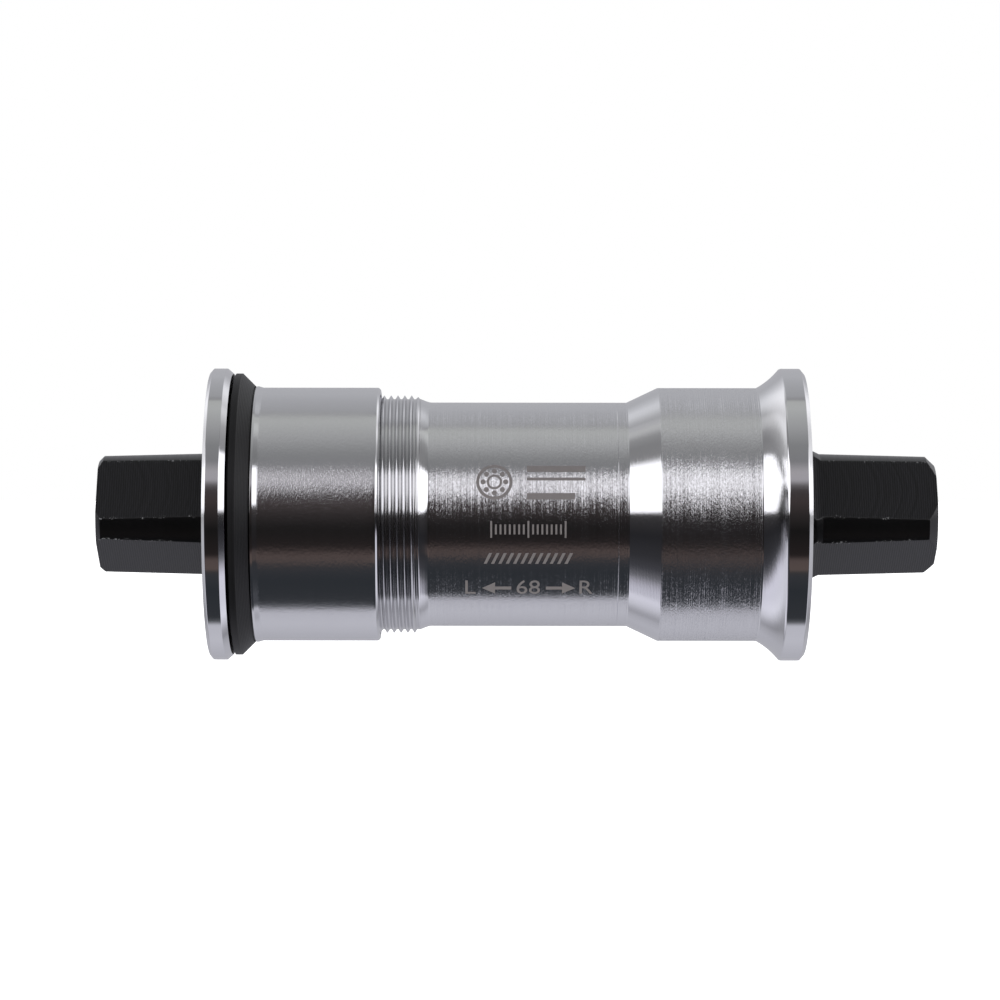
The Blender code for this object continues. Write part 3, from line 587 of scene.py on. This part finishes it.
def buildBall(side, number, middle, ball, pitchRadius, finishes):
    # A sphere as latitude rows turned about a line beside the axis
    latitude = np.linspace(0, np.pi, 25)[:, None]
    longitude = around(32)
    turn = number * 2 * np.pi / bearings[side]["count"]
    ringRadius = ball * np.sin(latitude)
    grids = np.broadcast_arrays(middle + ball * np.cos(latitude),
                                pitchRadius * np.cos(turn) + ringRadius * np.cos(longitude),
                                pitchRadius * np.sin(turn) + ringRadius * np.sin(longitude))
    points = np.stack(grids, axis=-1).reshape(-1, 3)
    piece = meshFrom(f"{side}Ball{number + 1:02d}", points, gridFaces(25, 32, closeRows=False))
    place(piece, side + "_balls", "polished_balls", finishes["ball"], f"{side}_ball_{number + 1:02d}")


cap = {
    "bore": 8.74,
    "lip": 1.0,
    "lipHeight": 0.45,
    "rim": 0.9,
    "ribs": 4,
    "ribHeight": 0.06,
}


def dustCap(side, finishes):
    # A dished disc with a raised rim and a lip beside the shaft, and low ribs between them
    low, high, rim = boxOf(side + "_dust_cap")
    outward = 1 if side == "drive" else -1
    face, back = (high, low) if side == "drive" else (low, high)
    web = face - outward * cap["lipHeight"]
    lip, rimIn = cap["bore"] + cap["lip"], rim - cap["rim"]
    start, stop = lip + 0.4, rimIn - 0.3
    share = np.linspace(0, 1, 12 * cap["ribs"])
    rib = cap["ribHeight"] * (1 - np.cos(share * cap["ribs"] * 2 * np.pi)) / 2
    ribs = np.column_stack([web + outward * rib, start + (stop - start) * share,
                            np.full(share.size, 0.5)])
    before = rounded([(face, lip, 0.15, 0.5), (web, lip, 0.1, 0.5)])
    after = rounded([(web, rimIn, 0.1, 0.5), (face, rimIn, 0.1, 0.5), (face, rim, 0.15, 0.5),
                     (back, rim, 0.1, 0.5), (back, cap["bore"], 0.1, 0.5), (face, cap["bore"], 0.2, 0.5)])
    place(turned(side + "DustCap", np.vstack([before, ribs, after]), 192), "housing", "cap_plastic",
          finishes["cap"], side + "_dust_cap")


marks = {
    "radius": 14.825,
    "proud": 0.012,
    "sunk": 0.06,
    "middle": 2.7,          # place of the marks' middle along the axis
    "texts": (("68", 0), ("L", -7.6), ("R", 7.4)),
    "textHeight": 2.3,
    "arrow": [(-1.9, -0.25), (0.2, -0.25), (0.2, -0.95), (1.9, 0), (0.2, 0.95), (0.2, 0.25), (-1.9, 0.25)],
    "arrows": (-4.1, 4.2),
    "sizeRow": -10.35,      # how far round from the front line each row lies
    "emblem": (-4.4, 4.3),
    "emblemRings": ((2.35, 1.95), (1.0, 0.7)),
    "emblemBalls": (8, 0.34, 1.46),
    "bars": ((7.6, 0.85, 6.1), (7.6, 0.4, 4.7), (6.2, 0.85, 2.4)),     # width, height, row
    "scale": {"count": 17, "pitch": 0.6, "width": 0.24, "short": 1.3, "tall": 2.2, "row": -1.9},
    "hatch": {"count": 12, "pitch": 0.95, "width": 0.4, "height": 1.5, "slant": 0.7, "row": -5.8},
    "strip": 0.35,
}


def textOutline(words, height):
    # A word as a flat mesh, its middle at the origin
    curve = bpy.data.curves.new("words", "FONT")
    curve.body = words
    curve.align_x = "CENTER"
    curve.align_y = "CENTER"
    curve.size = height / 0.7
    curve.resolution_u = 5
    drawn = bpy.data.objects.new("words", curve)
    bpy.context.scene.collection.objects.link(drawn)
    evaluated = drawn.evaluated_get(bpy.context.evaluated_depsgraph_get())
    mesh = bpy.data.meshes.new_from_object(evaluated)
    bpy.data.objects.remove(drawn)
    return mesh


def polygonOutline(corners):
    mesh = bpy.data.meshes.new("outline")
    mesh.from_pydata([(x, y, 0) for x, y in corners], [], [list(range(len(corners)))])
    return mesh


def ringOutline(outer, inner, sides=48):
    # A flat ring as quads between two circles
    turn = np.arange(sides) * 2 * np.pi / sides
    circle = np.column_stack([np.cos(turn), np.sin(turn), np.zeros(sides)])
    mesh = bpy.data.meshes.new("outline")
    mesh.from_pydata(np.vstack([circle * outer, circle * inner]).tolist(), [],
                     [[k, (k + 1) % sides, (k + 1) % sides + sides, k + sides] for k in range(sides)])
    return mesh


def etchedMarks():
    # Flat outlines laid side by side, cut into narrow strips, wrapped round the sleeve and given a
    # little thickness: a point (x, y) goes to place x on the axis and to the angle y / radius
    row, (emblemX, emblemY), arrow = marks["sizeRow"], marks["emblem"], marks["arrow"]
    laid = [(textOutline(words, marks["textHeight"]), x, row) for words, x in marks["texts"]]
    laid.append((polygonOutline(arrow), marks["arrows"][1], row))
    laid.append((polygonOutline([(-x, y) for x, y in arrow[::-1]]), marks["arrows"][0], row))
    laid += [(ringOutline(*radii), emblemX, emblemY) for radii in marks["emblemRings"]]
    count, dot, away = marks["emblemBalls"]
    for turn in np.arange(count) * 2 * np.pi / count:
        laid.append((ringOutline(dot, 0.001, 16), emblemX + away * np.cos(turn),
                     emblemY + away * np.sin(turn)))
    box = [(-0.5, -0.5), (0.5, -0.5), (0.5, 0.5), (-0.5, 0.5)]
    for width, height, y in marks["bars"]:
        laid.append((polygonOutline([(x * width, z * height) for x, z in box]), width / 2 - 0.2, y))
    scale, hatch = marks["scale"], marks["hatch"]
    for number in range(scale["count"]):
        tall = scale["tall"] if number % 8 == 0 else scale["short"]
        laid.append((polygonOutline([(x * scale["width"], y * tall) for x, y in box]),
                     (number - (scale["count"] - 1) / 2) * scale["pitch"], scale["row"]))
    stroke = [(x * hatch["width"] + y * hatch["slant"], y * hatch["height"]) for x, y in box]
    for number in range(hatch["count"]):
        laid.append((polygonOutline(stroke), (number - (hatch["count"] - 1) / 2) * hatch["pitch"],
                     hatch["row"]))
    work = bmesh.new()
    for mesh, x, y in laid:
        start = len(work.verts)
        work.from_mesh(mesh)
        bmesh.ops.translate(work, vec=(x + marks["middle"], y, 0), verts=list(work.verts)[start:])
    bmesh.ops.remove_doubles(work, verts=work.verts, dist=1e-4)
    for line in np.arange(row - 2, emblemY + 3, marks["strip"]):
        bmesh.ops.bisect_plane(work, geom=work.verts[:] + work.edges[:] + work.faces[:],
                               plane_co=(0, line, 0), plane_no=(0, 1, 0))
    bmesh.ops.triangulate(work, faces=work.faces)
    flat = bpy.data.meshes.new("flat")
    work.to_mesh(flat)
    work.free()
    points = np.zeros(len(flat.vertices) * 3)
    flat.vertices.foreach_get("co", points)
    points = points.reshape(-1, 3)
    faces = np.zeros(len(flat.polygons) * 3, int)
    flat.polygons.foreach_get("vertices", faces)
    faces = faces.reshape(-1, 3)
    angle = np.pi - points[:, 1] / marks["radius"]
    shells = []
    for radius in (marks["radius"] + marks["proud"], marks["radius"] - marks["sunk"]):
        shells.append(np.column_stack([points[:, 0], radius * np.cos(angle), radius * np.sin(angle)]))
    ends = np.concatenate([faces[:, [0, 1]], faces[:, [1, 2]], faces[:, [2, 0]]])
    keys = np.sort(ends, axis=1)
    found, first, count = np.unique(keys, axis=0, return_index=True, return_counts=True)
    border = ends[first[count == 1]]
    below = len(points)
    walls = np.vstack([np.column_stack([border[:, 0], border[:, 0] + below, border[:, 1] + below]),
                       np.column_stack([border[:, 0], border[:, 1] + below, border[:, 1]])])
    allFaces = np.vstack([faces, faces[:, ::-1] + below, walls])
    return meshFrom("etchedMarks", np.vstack(shells), allFaces, sharp=40)


class Shade:
    # Wraps one socket of a node tree, so that sums and products of it add Math nodes

    def __init__(self, tree, socket=None):
        self.tree = tree
        self.socket = socket

    def node(self, kind, settings=None, sockets=None, out=0):
        # Any node: its settings first, then the values or links of its sockets
        made = self.tree.nodes.new(kind)
        for name, value in (settings or {}).items():
            if name == "stops":
                elements = made.color_ramp.elements
                while len(elements) < len(value):
                    elements.new(1.0)
                for element, (position, colour) in zip(elements, value):
                    element.position = position
                    element.color = (*colour, 1.0)
            else:
                setattr(made, name, value)
        for name, value in (sockets or {}).items():
            if isinstance(value, Shade):
                self.tree.links.new(value.socket, made.inputs[name])
            else:
                made.inputs[name].default_value = value
        return Shade(self.tree, made.outputs[out])

    def math(self, operation, *values, clamp=False):
        settings = {"operation": operation, "use_clamp": clamp}
        return self.node("ShaderNodeMath", settings, dict(enumerate(values)))

    def __add__(self, other):
        return self.math("ADD", self, other)

    def __radd__(self, other):
        return self.math("ADD", other, self)

    def __sub__(self, other):
        return self.math("SUBTRACT", self, other)

    def __rsub__(self, other):
        return self.math("SUBTRACT", other, self)

    def __mul__(self, other):
        return self.math("MULTIPLY", self, other)

    def __rmul__(self, other):
        return self.math("MULTIPLY", other, self)

    def between(self, low, high):
        # 0 below low and 1 above high, with a smooth rise
        sockets = {"Value": self, "From Min": low, "From Max": high}
        return self.node("ShaderNodeMapRange", {"interpolation_type": "SMOOTHSTEP"}, sockets)

    def mix(self, first, second):
        # A colour between two, by this value
        sockets = {0: self, 6: first if isinstance(first, Shade) else (*first, 1.0),
                   7: second if isinstance(second, Shade) else (*second, 1.0)}
        return self.node("ShaderNodeMix", {"data_type": "RGBA"}, sockets, out=2)


class Finish:
    # A Principled material with the coordinates that turned parts need

    def __init__(self, name):
        self.material = bpy.data.materials.new(name)
        self.material.use_nodes = True
        tree = self.material.node_tree
        self.shader = tree.nodes["Principled BSDF"]
        self.tool = Shade(tree)
        self.place = self.tool.node("ShaderNodeTexCoord", out="Object")
        parts = self.tool.node("ShaderNodeSeparateXYZ", sockets={0: self.place})
        outputs = parts.socket.node.outputs
        self.x, y, z = (Shade(tree, outputs[k]) for k in range(3))
        self.radius = self.tool.math("SQRT", y * y + z * z)
        self.turn = self.tool.math("ARCTAN2", z, y)
        self.along = self.x + self.radius     # grows along a wall and up a face alike

    def attribute(self, name):
        return self.tool.node("ShaderNodeAttribute", {"attribute_name": name}, out="Fac")

    def lines(self, perMillimetre, detail=2.0, roughness=0.5):
        # Noise that only changes along the wall: the marks of a turning tool
        sockets = {"W": self.along * (perMillimetre / metre), "Scale": 1.0, "Detail": detail,
                   "Roughness": roughness}
        return self.tool.node("ShaderNodeTexNoise", {"noise_dimensions": "1D"}, sockets)

    def grain(self, perMillimetre, detail=2.0, roughness=0.5, across=1.0):
        # "across" below 1 draws the grain out round the axis
        stretch = {"Vector": self.place, "Scale": (1, across, across)}
        sockets = {"Vector": self.tool.node("ShaderNodeMapping", {}, stretch),
                   "Scale": perMillimetre / metre, "Detail": detail, "Roughness": roughness}
        return self.tool.node("ShaderNodeTexNoise", {}, sockets)

    def bump(self, height, strength, distance):
        sockets = {"Height": height, "Strength": strength, "Distance": distance * metre}
        return self.tool.node("ShaderNodeBump", {}, sockets)

    def set(self, **values):
        names = {"colour": "Base Color", "roughness": "Roughness", "metallic": "Metallic",
                 "normal": "Normal", "ior": "IOR", "coat": "Coat Weight", "coatRoughness": "Coat Roughness"}
        for key, value in values.items():
            socket = self.shader.inputs[names[key]]
            if isinstance(value, Shade):
                self.tool.tree.links.new(value.socket, socket)
            else:
                socket.default_value = (*value, 1.0) if key == "colour" else value
        return self.material


plating = {
    "bright": (0.81, 0.81, 0.825),
    "dull": (0.66, 0.655, 0.665),
    "polished": 0.08,       # roughness of the polished rims
    "satin": 0.049,         # what turning and blasting add to it
    "feed": 0.27,           # distance between two tool lines
    "relief": 0.07,         # height of the marks
    # colour of the painted shade in the thread grooves and the gap under the wedge ring
    "paintedShade": (0.03, 0.03, 0.03),
}


def platedSteel(toolShare, lineShare, grainShare):
    # Bright plate over turned steel. Even tool lines, uneven lines and a fine grain tilt the surface
    # mostly along the axis, all as strong as "satin" says, so that the room smears into a band.
    f = Finish("platedSteel")
    satinAndShade = f.attribute("satin")
    # Satin below zero is painted shade, split off here; it darkens the colour and roughens it
    satin, paintedShade = f.tool.math("MAXIMUM", satinAndShade, 0.0), f.tool.math("MAXIMUM", 0.0 - satinAndShade, 0.0)
    lines, broad = f.lines(6.5, 3.0, 0.6), f.lines(0.55, 2.0)
    grain, cloud, smear = f.grain(7.5, 2.0, 0.6, 0.35), f.grain(0.16, 3.0), f.grain(1.1, 3.0, 0.6, 0.5)
    tool = f.tool.math("SINE", f.along * (2 * np.pi / (plating["feed"] * metre)))
    marked = (lines.between(0.3, 0.72) * lineShare + grain.between(0.35, 0.7) * grainShare) * satin
    colour = (marked * 0.35 + cloud * 0.15).mix(plating["bright"], plating["dull"])
    # painted shade: darker in the thread grooves and in the gap under the wedge ring
    colour = paintedShade.mix(colour, plating["paintedShade"])
    roughness = plating["polished"] + satin * (plating["satin"] + marked * 0.06 + broad * 0.05)
    height = (tool * toolShare + lines * lineShare + grain * grainShare) * satin + smear * 0.025
    return f.set(colour=colour, metallic=1.0, roughness=roughness + paintedShade * 0.25,
                 normal=f.bump(height, 1.0, plating["relief"]))


oxide = {
    "dark": (0.0010, 0.0010, 0.0012),
    "worn": (0.0030, 0.0029, 0.0032),
    # lighter colour of the cutter lines, partly the flats' own tone and partly painted shading of their
    # cusps
    "milled": (0.012, 0.0115, 0.0145),
    "bare": (0.5, 0.5, 0.51),
    "feed": 0.3,            # distance between two cutter lines
    "relief": 0.014,
}


def blackOxide():
    # Oxide on milled flats: cutter lines across them in a lighter colour, partly their own tone and partly
    # painted shading of the cusps between cuts, smoother corners, bare nicks along the edges
    f = Finish("blackOxide")
    edge, milled = f.attribute("edge"), f.attribute("milled")
    ridges = f.tool.math("SINE", f.x * (2 * np.pi / (oxide["feed"] * metre)))
    waver = f.lines(2.2, 3.0, 0.7)
    grain, blotch = f.grain(5.5, 3.0, 0.65), f.grain(0.35, 3.0)
    nicks = (edge * f.grain(2.6, 4.0, 0.75).between(0.565, 0.65)) * f.grain(0.5, 1.0).between(0.38, 0.6)
    colour = (blotch * 0.5 + waver * 0.3).mix(oxide["dark"], oxide["worn"])
    # Lighter stripes along the cutter lines: the flats' own line pattern, with painted shading of the cusps
    # between cuts
    cut = ((ridges * 0.25 + waver * 0.75) * milled).between(0.15, 0.75)
    colour = nicks.mix(cut.mix(colour, oxide["milled"]), oxide["bare"])
    height = (ridges * 0.55 + waver) * milled + grain * 0.25
    return f.set(colour=colour, metallic=nicks, roughness=0.22 + waver * 0.16 + grain * 0.06, ior=1.45,
                 coat=(1 - milled) * 0.3, coatRoughness=0.2, normal=f.bump(height, 1.0, oxide["relief"]))


def blackPlastic(name, colour, roughness, linesPerMillimetre, ior=1.5):
    # Moulded or turned plastic with concentric lines and dust-fine grain
    f = Finish(name)
    lines, grain, blotch = f.lines(linesPerMillimetre, 3.0, 0.7), f.grain(6.0, 3.0, 0.6), f.grain(0.3, 3.0)
    pale = tuple(value * 1.9 for value in colour)
    marked = lines.between(0.35, 0.75) * 0.6 + blotch * 0.4
    return f.set(colour=marked.mix(colour, pale), metallic=0.0, ior=ior,
                 roughness=roughness + lines * 0.14 + grain * 0.06,
                 normal=f.bump(lines + grain * 0.5, 0.6, 0.014))


def groundSteel(name, colour, roughness):
    # Steel with fine lines left by the grinding wheel
    f = Finish(name)
    lines, grain = f.lines(6.0, 3.0, 0.7), f.grain(4.0, 2.0)
    dark = tuple(value * 0.72 for value in colour)
    return f.set(colour=(lines * 0.7 + grain * 0.3).mix(colour, dark), metallic=1.0,
                 roughness=roughness + lines * 0.1, normal=f.bump(lines, 0.35, 0.005))


def cageNylon():
    # Glass-filled nylon: a warm pale plastic, slightly blotched
    f = Finish("cageNylon")
    grain, blotch = f.grain(3.0, 3.0), f.grain(0.4, 3.0)
    return f.set(colour=blotch.mix((0.50, 0.42, 0.27), (0.60, 0.52, 0.36)), metallic=0.0, ior=1.52,
                 roughness=0.38 + grain * 0.16, normal=f.bump(grain, 0.4, 0.02))


def etchedSteel():
    # Laser marks: a matte, slightly warm grey skin with a fine grain
    f = Finish("etchedSteel")
    strokes, grain = f.grain(9.0, 2.0), f.grain(1.2, 2.0)
    colour = (strokes * 0.6 + grain * 0.4).mix((0.19, 0.172, 0.168), (0.28, 0.262, 0.258))
    return f.set(colour=colour, metallic=0.5, roughness=0.5 + strokes * 0.15,
                 normal=f.bump(strokes, 0.5, 0.01))


room = {
    "across": [     # what is seen straight across the axis
        (-180, (0.45, 0.45, 0.48)), (-150, (0.47, 0.47, 0.52)), (-118, (0.58, 0.58, 0.64)),
        (-98, (0.56, 0.56, 0.62)), (-93.5, (0.10, 0.105, 0.115)), (-89, (0.036, 0.039, 0.045)),
        (-62, (0.028, 0.032, 0.038)), (-49, (0.038, 0.040, 0.046)), (-45.5, (0.045, 0.042, 0.044)),
        (-44, (0.105, 0.080, 0.074)), (-36, (0.095, 0.072, 0.068)), (-32, (0.020, 0.016, 0.016)),
        (-12, (0.010, 0.0095, 0.0095)), (0, (0.028, 0.024, 0.024)), (10, (0.050, 0.040, 0.040)),
        (19, (0.055, 0.047, 0.049)), (23, (0.13, 0.12, 0.125)), (27, (0.40, 0.385, 0.41)),
        (34, (0.40, 0.385, 0.405)), (42, (0.23, 0.23, 0.24)), (56, (0.25, 0.255, 0.26)),
        (72, (0.37, 0.375, 0.38)), (92, (0.48, 0.49, 0.485)), (100, (0.47, 0.48, 0.47)),
        (103, (0.30, 0.30, 0.31)), (107, (0.38, 0.385, 0.40)), (140, (0.48, 0.485, 0.51)),
        (180, (0.45, 0.45, 0.48)),
    ],
    "along": [      # what is seen along it
        (-180, (0.62, 0.62, 0.64)), (-136, (0.42, 0.42, 0.46)), (-120, (0.72, 0.72, 0.80)),
        (-90, (0.74, 0.73, 0.84)), (-82, (0.48, 0.47, 0.54)), (-74, (0.17, 0.17, 0.19)),
        (-64, (0.06, 0.06, 0.07)), (-50, (0.035, 0.035, 0.04)), (-25, (0.020, 0.020, 0.023)),
        (0, (0.04, 0.038, 0.04)), (60, (0.25, 0.25, 0.255)), (92, (0.32, 0.32, 0.33)),
        (105, (0.44, 0.44, 0.45)), (116, (0.50, 0.50, 0.51)), (126, (0.70, 0.70, 0.72)),
        (150, (0.75, 0.75, 0.77)), (180, (0.62, 0.62, 0.64)),
    ],
    "streaks": [    # how much brighter the room is in slanted streaks
        (-180, 1.0), (-115, 1.0), (-96, 0.85), (-87, 0.65), (-79, 0.74), (-68, 1.0), (-55, 1.15),
        (-35, 1.0), (0, 1.0), (14, 0.88), (24, 0.8), (38, 0.88), (46, 1.2), (55, 1.32), (61, 1.22),
        (67, 1.0), (74, 1.15), (88, 1.5), (98, 1.55), (112, 1.25), (130, 1.0), (180, 1.0),
    ],
    "slant": 93,    # degrees that a streak goes back from the front to the side
    "point": 0.2,   # how far the left card is cut in from above and from below
    "dim": 0.6,     # how much light the room beside its point lacks
}
card = {
    "inner": 0.08,      # how far sideways a card starts and is full
    "outer": 0.38,
    "lift": 0.28,       # height of its lower edge near the front
    "top": 0.64,
    "behind": 0.47,     # height of its upper edge at the sides, and its rise towards the front
    "slant": 0.75,
    "colour": (1.45, 1.44, 1.5),
}


def studio():
    # A dark room open at the sides. Directions are told by an angle round the object's axis, counted
    # from the front, upwards: 90 is overhead, 180 behind, -90 below. The room is seen straight across
    # the axis and along it, where a white card stands at each side above the horizon.
    world = bpy.data.worlds.new("studio")
    world.use_nodes = True
    bpy.context.scene.world = world
    world.node_tree.nodes.clear()
    tool = Shade(world.node_tree)

    def ramp(stops, share):
        # Colours by an angle, whose share of the way from -180 to 180 is given
        placed = [((turn + 180) / 360, colour) for turn, colour in stops]
        return tool.node("ShaderNodeValToRGB", {"stops": placed}, {0: share})

    parts = tool.node("ShaderNodeSeparateXYZ", {}, {0: tool.node("ShaderNodeTexCoord", out="Generated")})
    toRight, toBack, up = (Shade(tool.tree, parts.socket.node.outputs[k]) for k in range(3))
    side, toFront = tool.math("ABSOLUTE", toRight), toBack * -1.0
    share = tool.math("ARCTAN2", up, toFront) * (1 / (2 * np.pi)) + 0.5
    base = side.between(0.3, 0.7).mix(ramp(room["across"], share), ramp(room["along"], share))
    cut = tool.math("LESS_THAN", toRight, 0.0) * toFront.between(-0.12, -0.06)
    top = tool.math("MINIMUM", card["behind"] + toFront * card["slant"], card["top"])
    top = top - cut * (1 - toFront.between(0.0, 0.09)) * room["point"]
    cut = cut * (1 - toFront.between(0.0, 0.3))
    bottom = (1 - side.between(0.25, 0.65)) * card["lift"] + cut * room["point"]
    inCard = (up - bottom).between(0.0, 0.05) * (1 - (up - top).between(-0.03, 0.04))
    inCard = inCard * side.between(card["inner"], card["outer"])
    lean = share * 360 - 180
    away = tool.math("MAXIMUM", tool.math("ABSOLUTE", lean) - side * room["slant"], 0.0)
    streak = away * tool.math("SIGN", lean) * (1 / 360) + 0.5
    halves = [(turn, (factor / 2,) * 3) for turn, factor in room["streaks"]]
    light = 1 + (ramp(halves, streak) * 2 - 1) * side.between(0.12, 0.35)
    light = light * (1 - cut * (1 - tool.math("ABSOLUTE", up).between(0.2, 0.45)) * room["dim"])
    lit = tool.node("ShaderNodeVectorMath", {"operation": "SCALE"}, {0: base, "Scale": light})
    seen = tool.node("ShaderNodeLightPath", out="Is Camera Ray")
    colour = seen.mix(inCard.mix(lit, card["colour"]), (1.0, 1.0, 1.0))
    shader = tool.node("ShaderNodeBackground", {}, {"Color": colour, "Strength": 1.0})
    output = world.node_tree.nodes.new("ShaderNodeOutputWorld")
    world.node_tree.links.new(shader.socket, output.inputs[0])


sheet = {"reach": 60000, "gap": 0.05, "grey": 0.85, "glow": 0.93}


def studioFloor():
    # A pale sheet under the object, lit from within so that it stays clean round the contact shadow
    corners = np.array([(-1, -1), (1, -1), (1, 1), (-1, 1)]) * sheet["reach"]
    level = min(cadLow.z / metre, -cupRim) - sheet["gap"]
    points = np.column_stack([corners, np.full(4, level)])
    mesh = bpy.data.meshes.new("studioFloor")
    mesh.from_pydata((points * metre).tolist(), [], [(0, 1, 2, 3)])
    floor = bpy.data.objects.new("studioFloor", mesh)
    bpy.context.scene.collection.objects.link(floor)
    floor.visible_glossy = False
    material = bpy.data.materials.new("paleSheet")
    material.use_nodes = True
    shader = material.node_tree.nodes["Principled BSDF"]
    shader.inputs["Base Color"].default_value = (sheet["grey"], sheet["grey"], sheet["grey"], 1)
    shader.inputs["Roughness"].default_value = 1.0
    shader.inputs["Emission Color"].default_value = (1, 1, 1, 1)
    shader.inputs["Emission Strength"].default_value = sheet["glow"]
    mesh.materials.append(material)


view = {"lens": 141, "sensor": 36, "place": (-0.97, -520, 1.9), "pitch": 90, "roll": -0.065}


def studioCamera():
    # A long lens straight in front of the object, level with its axis
    camera = bpy.data.objects.new("camera", bpy.data.cameras.new("camera"))
    bpy.context.scene.collection.objects.link(camera)
    camera.data.lens = view["lens"]
    camera.data.sensor_width = view["sensor"]
    camera.data.clip_start = 0.01
    camera.data.clip_end = 100
    camera.location = np.array(view["place"]) * metre
    camera.rotation_euler = (view["pitch"] * degree, view["roll"] * degree, 0)
    bpy.context.scene.camera = camera
    bpy.context.scene.view_settings.view_transform = "Standard"


finishes = {
    "race": groundSteel("bearingSteel", (0.62, 0.62, 0.63), 0.16),
    "ball": groundSteel("polishedSteel", (0.80, 0.80, 0.81), 0.04),
    "cage": cageNylon(),
    "seal": blackPlastic("sealRubber", (0.012, 0.012, 0.013), 0.5, 3.0),
    "cap": blackPlastic("capPlastic", (0.014, 0.014, 0.015), 0.36, 1.6),
    "spring": groundSteel("springSteel", (0.17, 0.16, 0.15), 0.34),
}
print("finishes made")

turnedSteel, blastedSteel = platedSteel(0.1, 0.42, 0.55), platedSteel(0.0, 0.1, 0.36)
wedgePlastic = blackPlastic("wedgePlastic", (0.0045, 0.0045, 0.005), 0.36, 3.2, 1.38)
place(driveSideBody(), "housing", "plated_steel", turnedSteel, "drive_side_body")
place(leftCup(), "left_cup", "plated_steel", blastedSteel, "left_cup")
place(wedgeRing(), "wedge_ring", "wedge_plastic", wedgePlastic, "wedge_ring")
place(spindlePiece(), "spindle", "black_oxide_steel", blackOxide(), "spindle")
print("body, cup, ring and spindle made")

for side in bearings:
    buildBearing(side, finishes)
    dustCap(side, finishes)
    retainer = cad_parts[side + "_retaining_ring"]
    retainer.data.materials.clear()
    retainer.data.materials.append(finishes["spring"])
print("bearings and caps made")

etched = etchedMarks()
etched.data.materials.append(etchedSteel())
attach(etched, "housing")
print("marks made")

studio()
studioFloor()
studioCamera()
print("studio made")
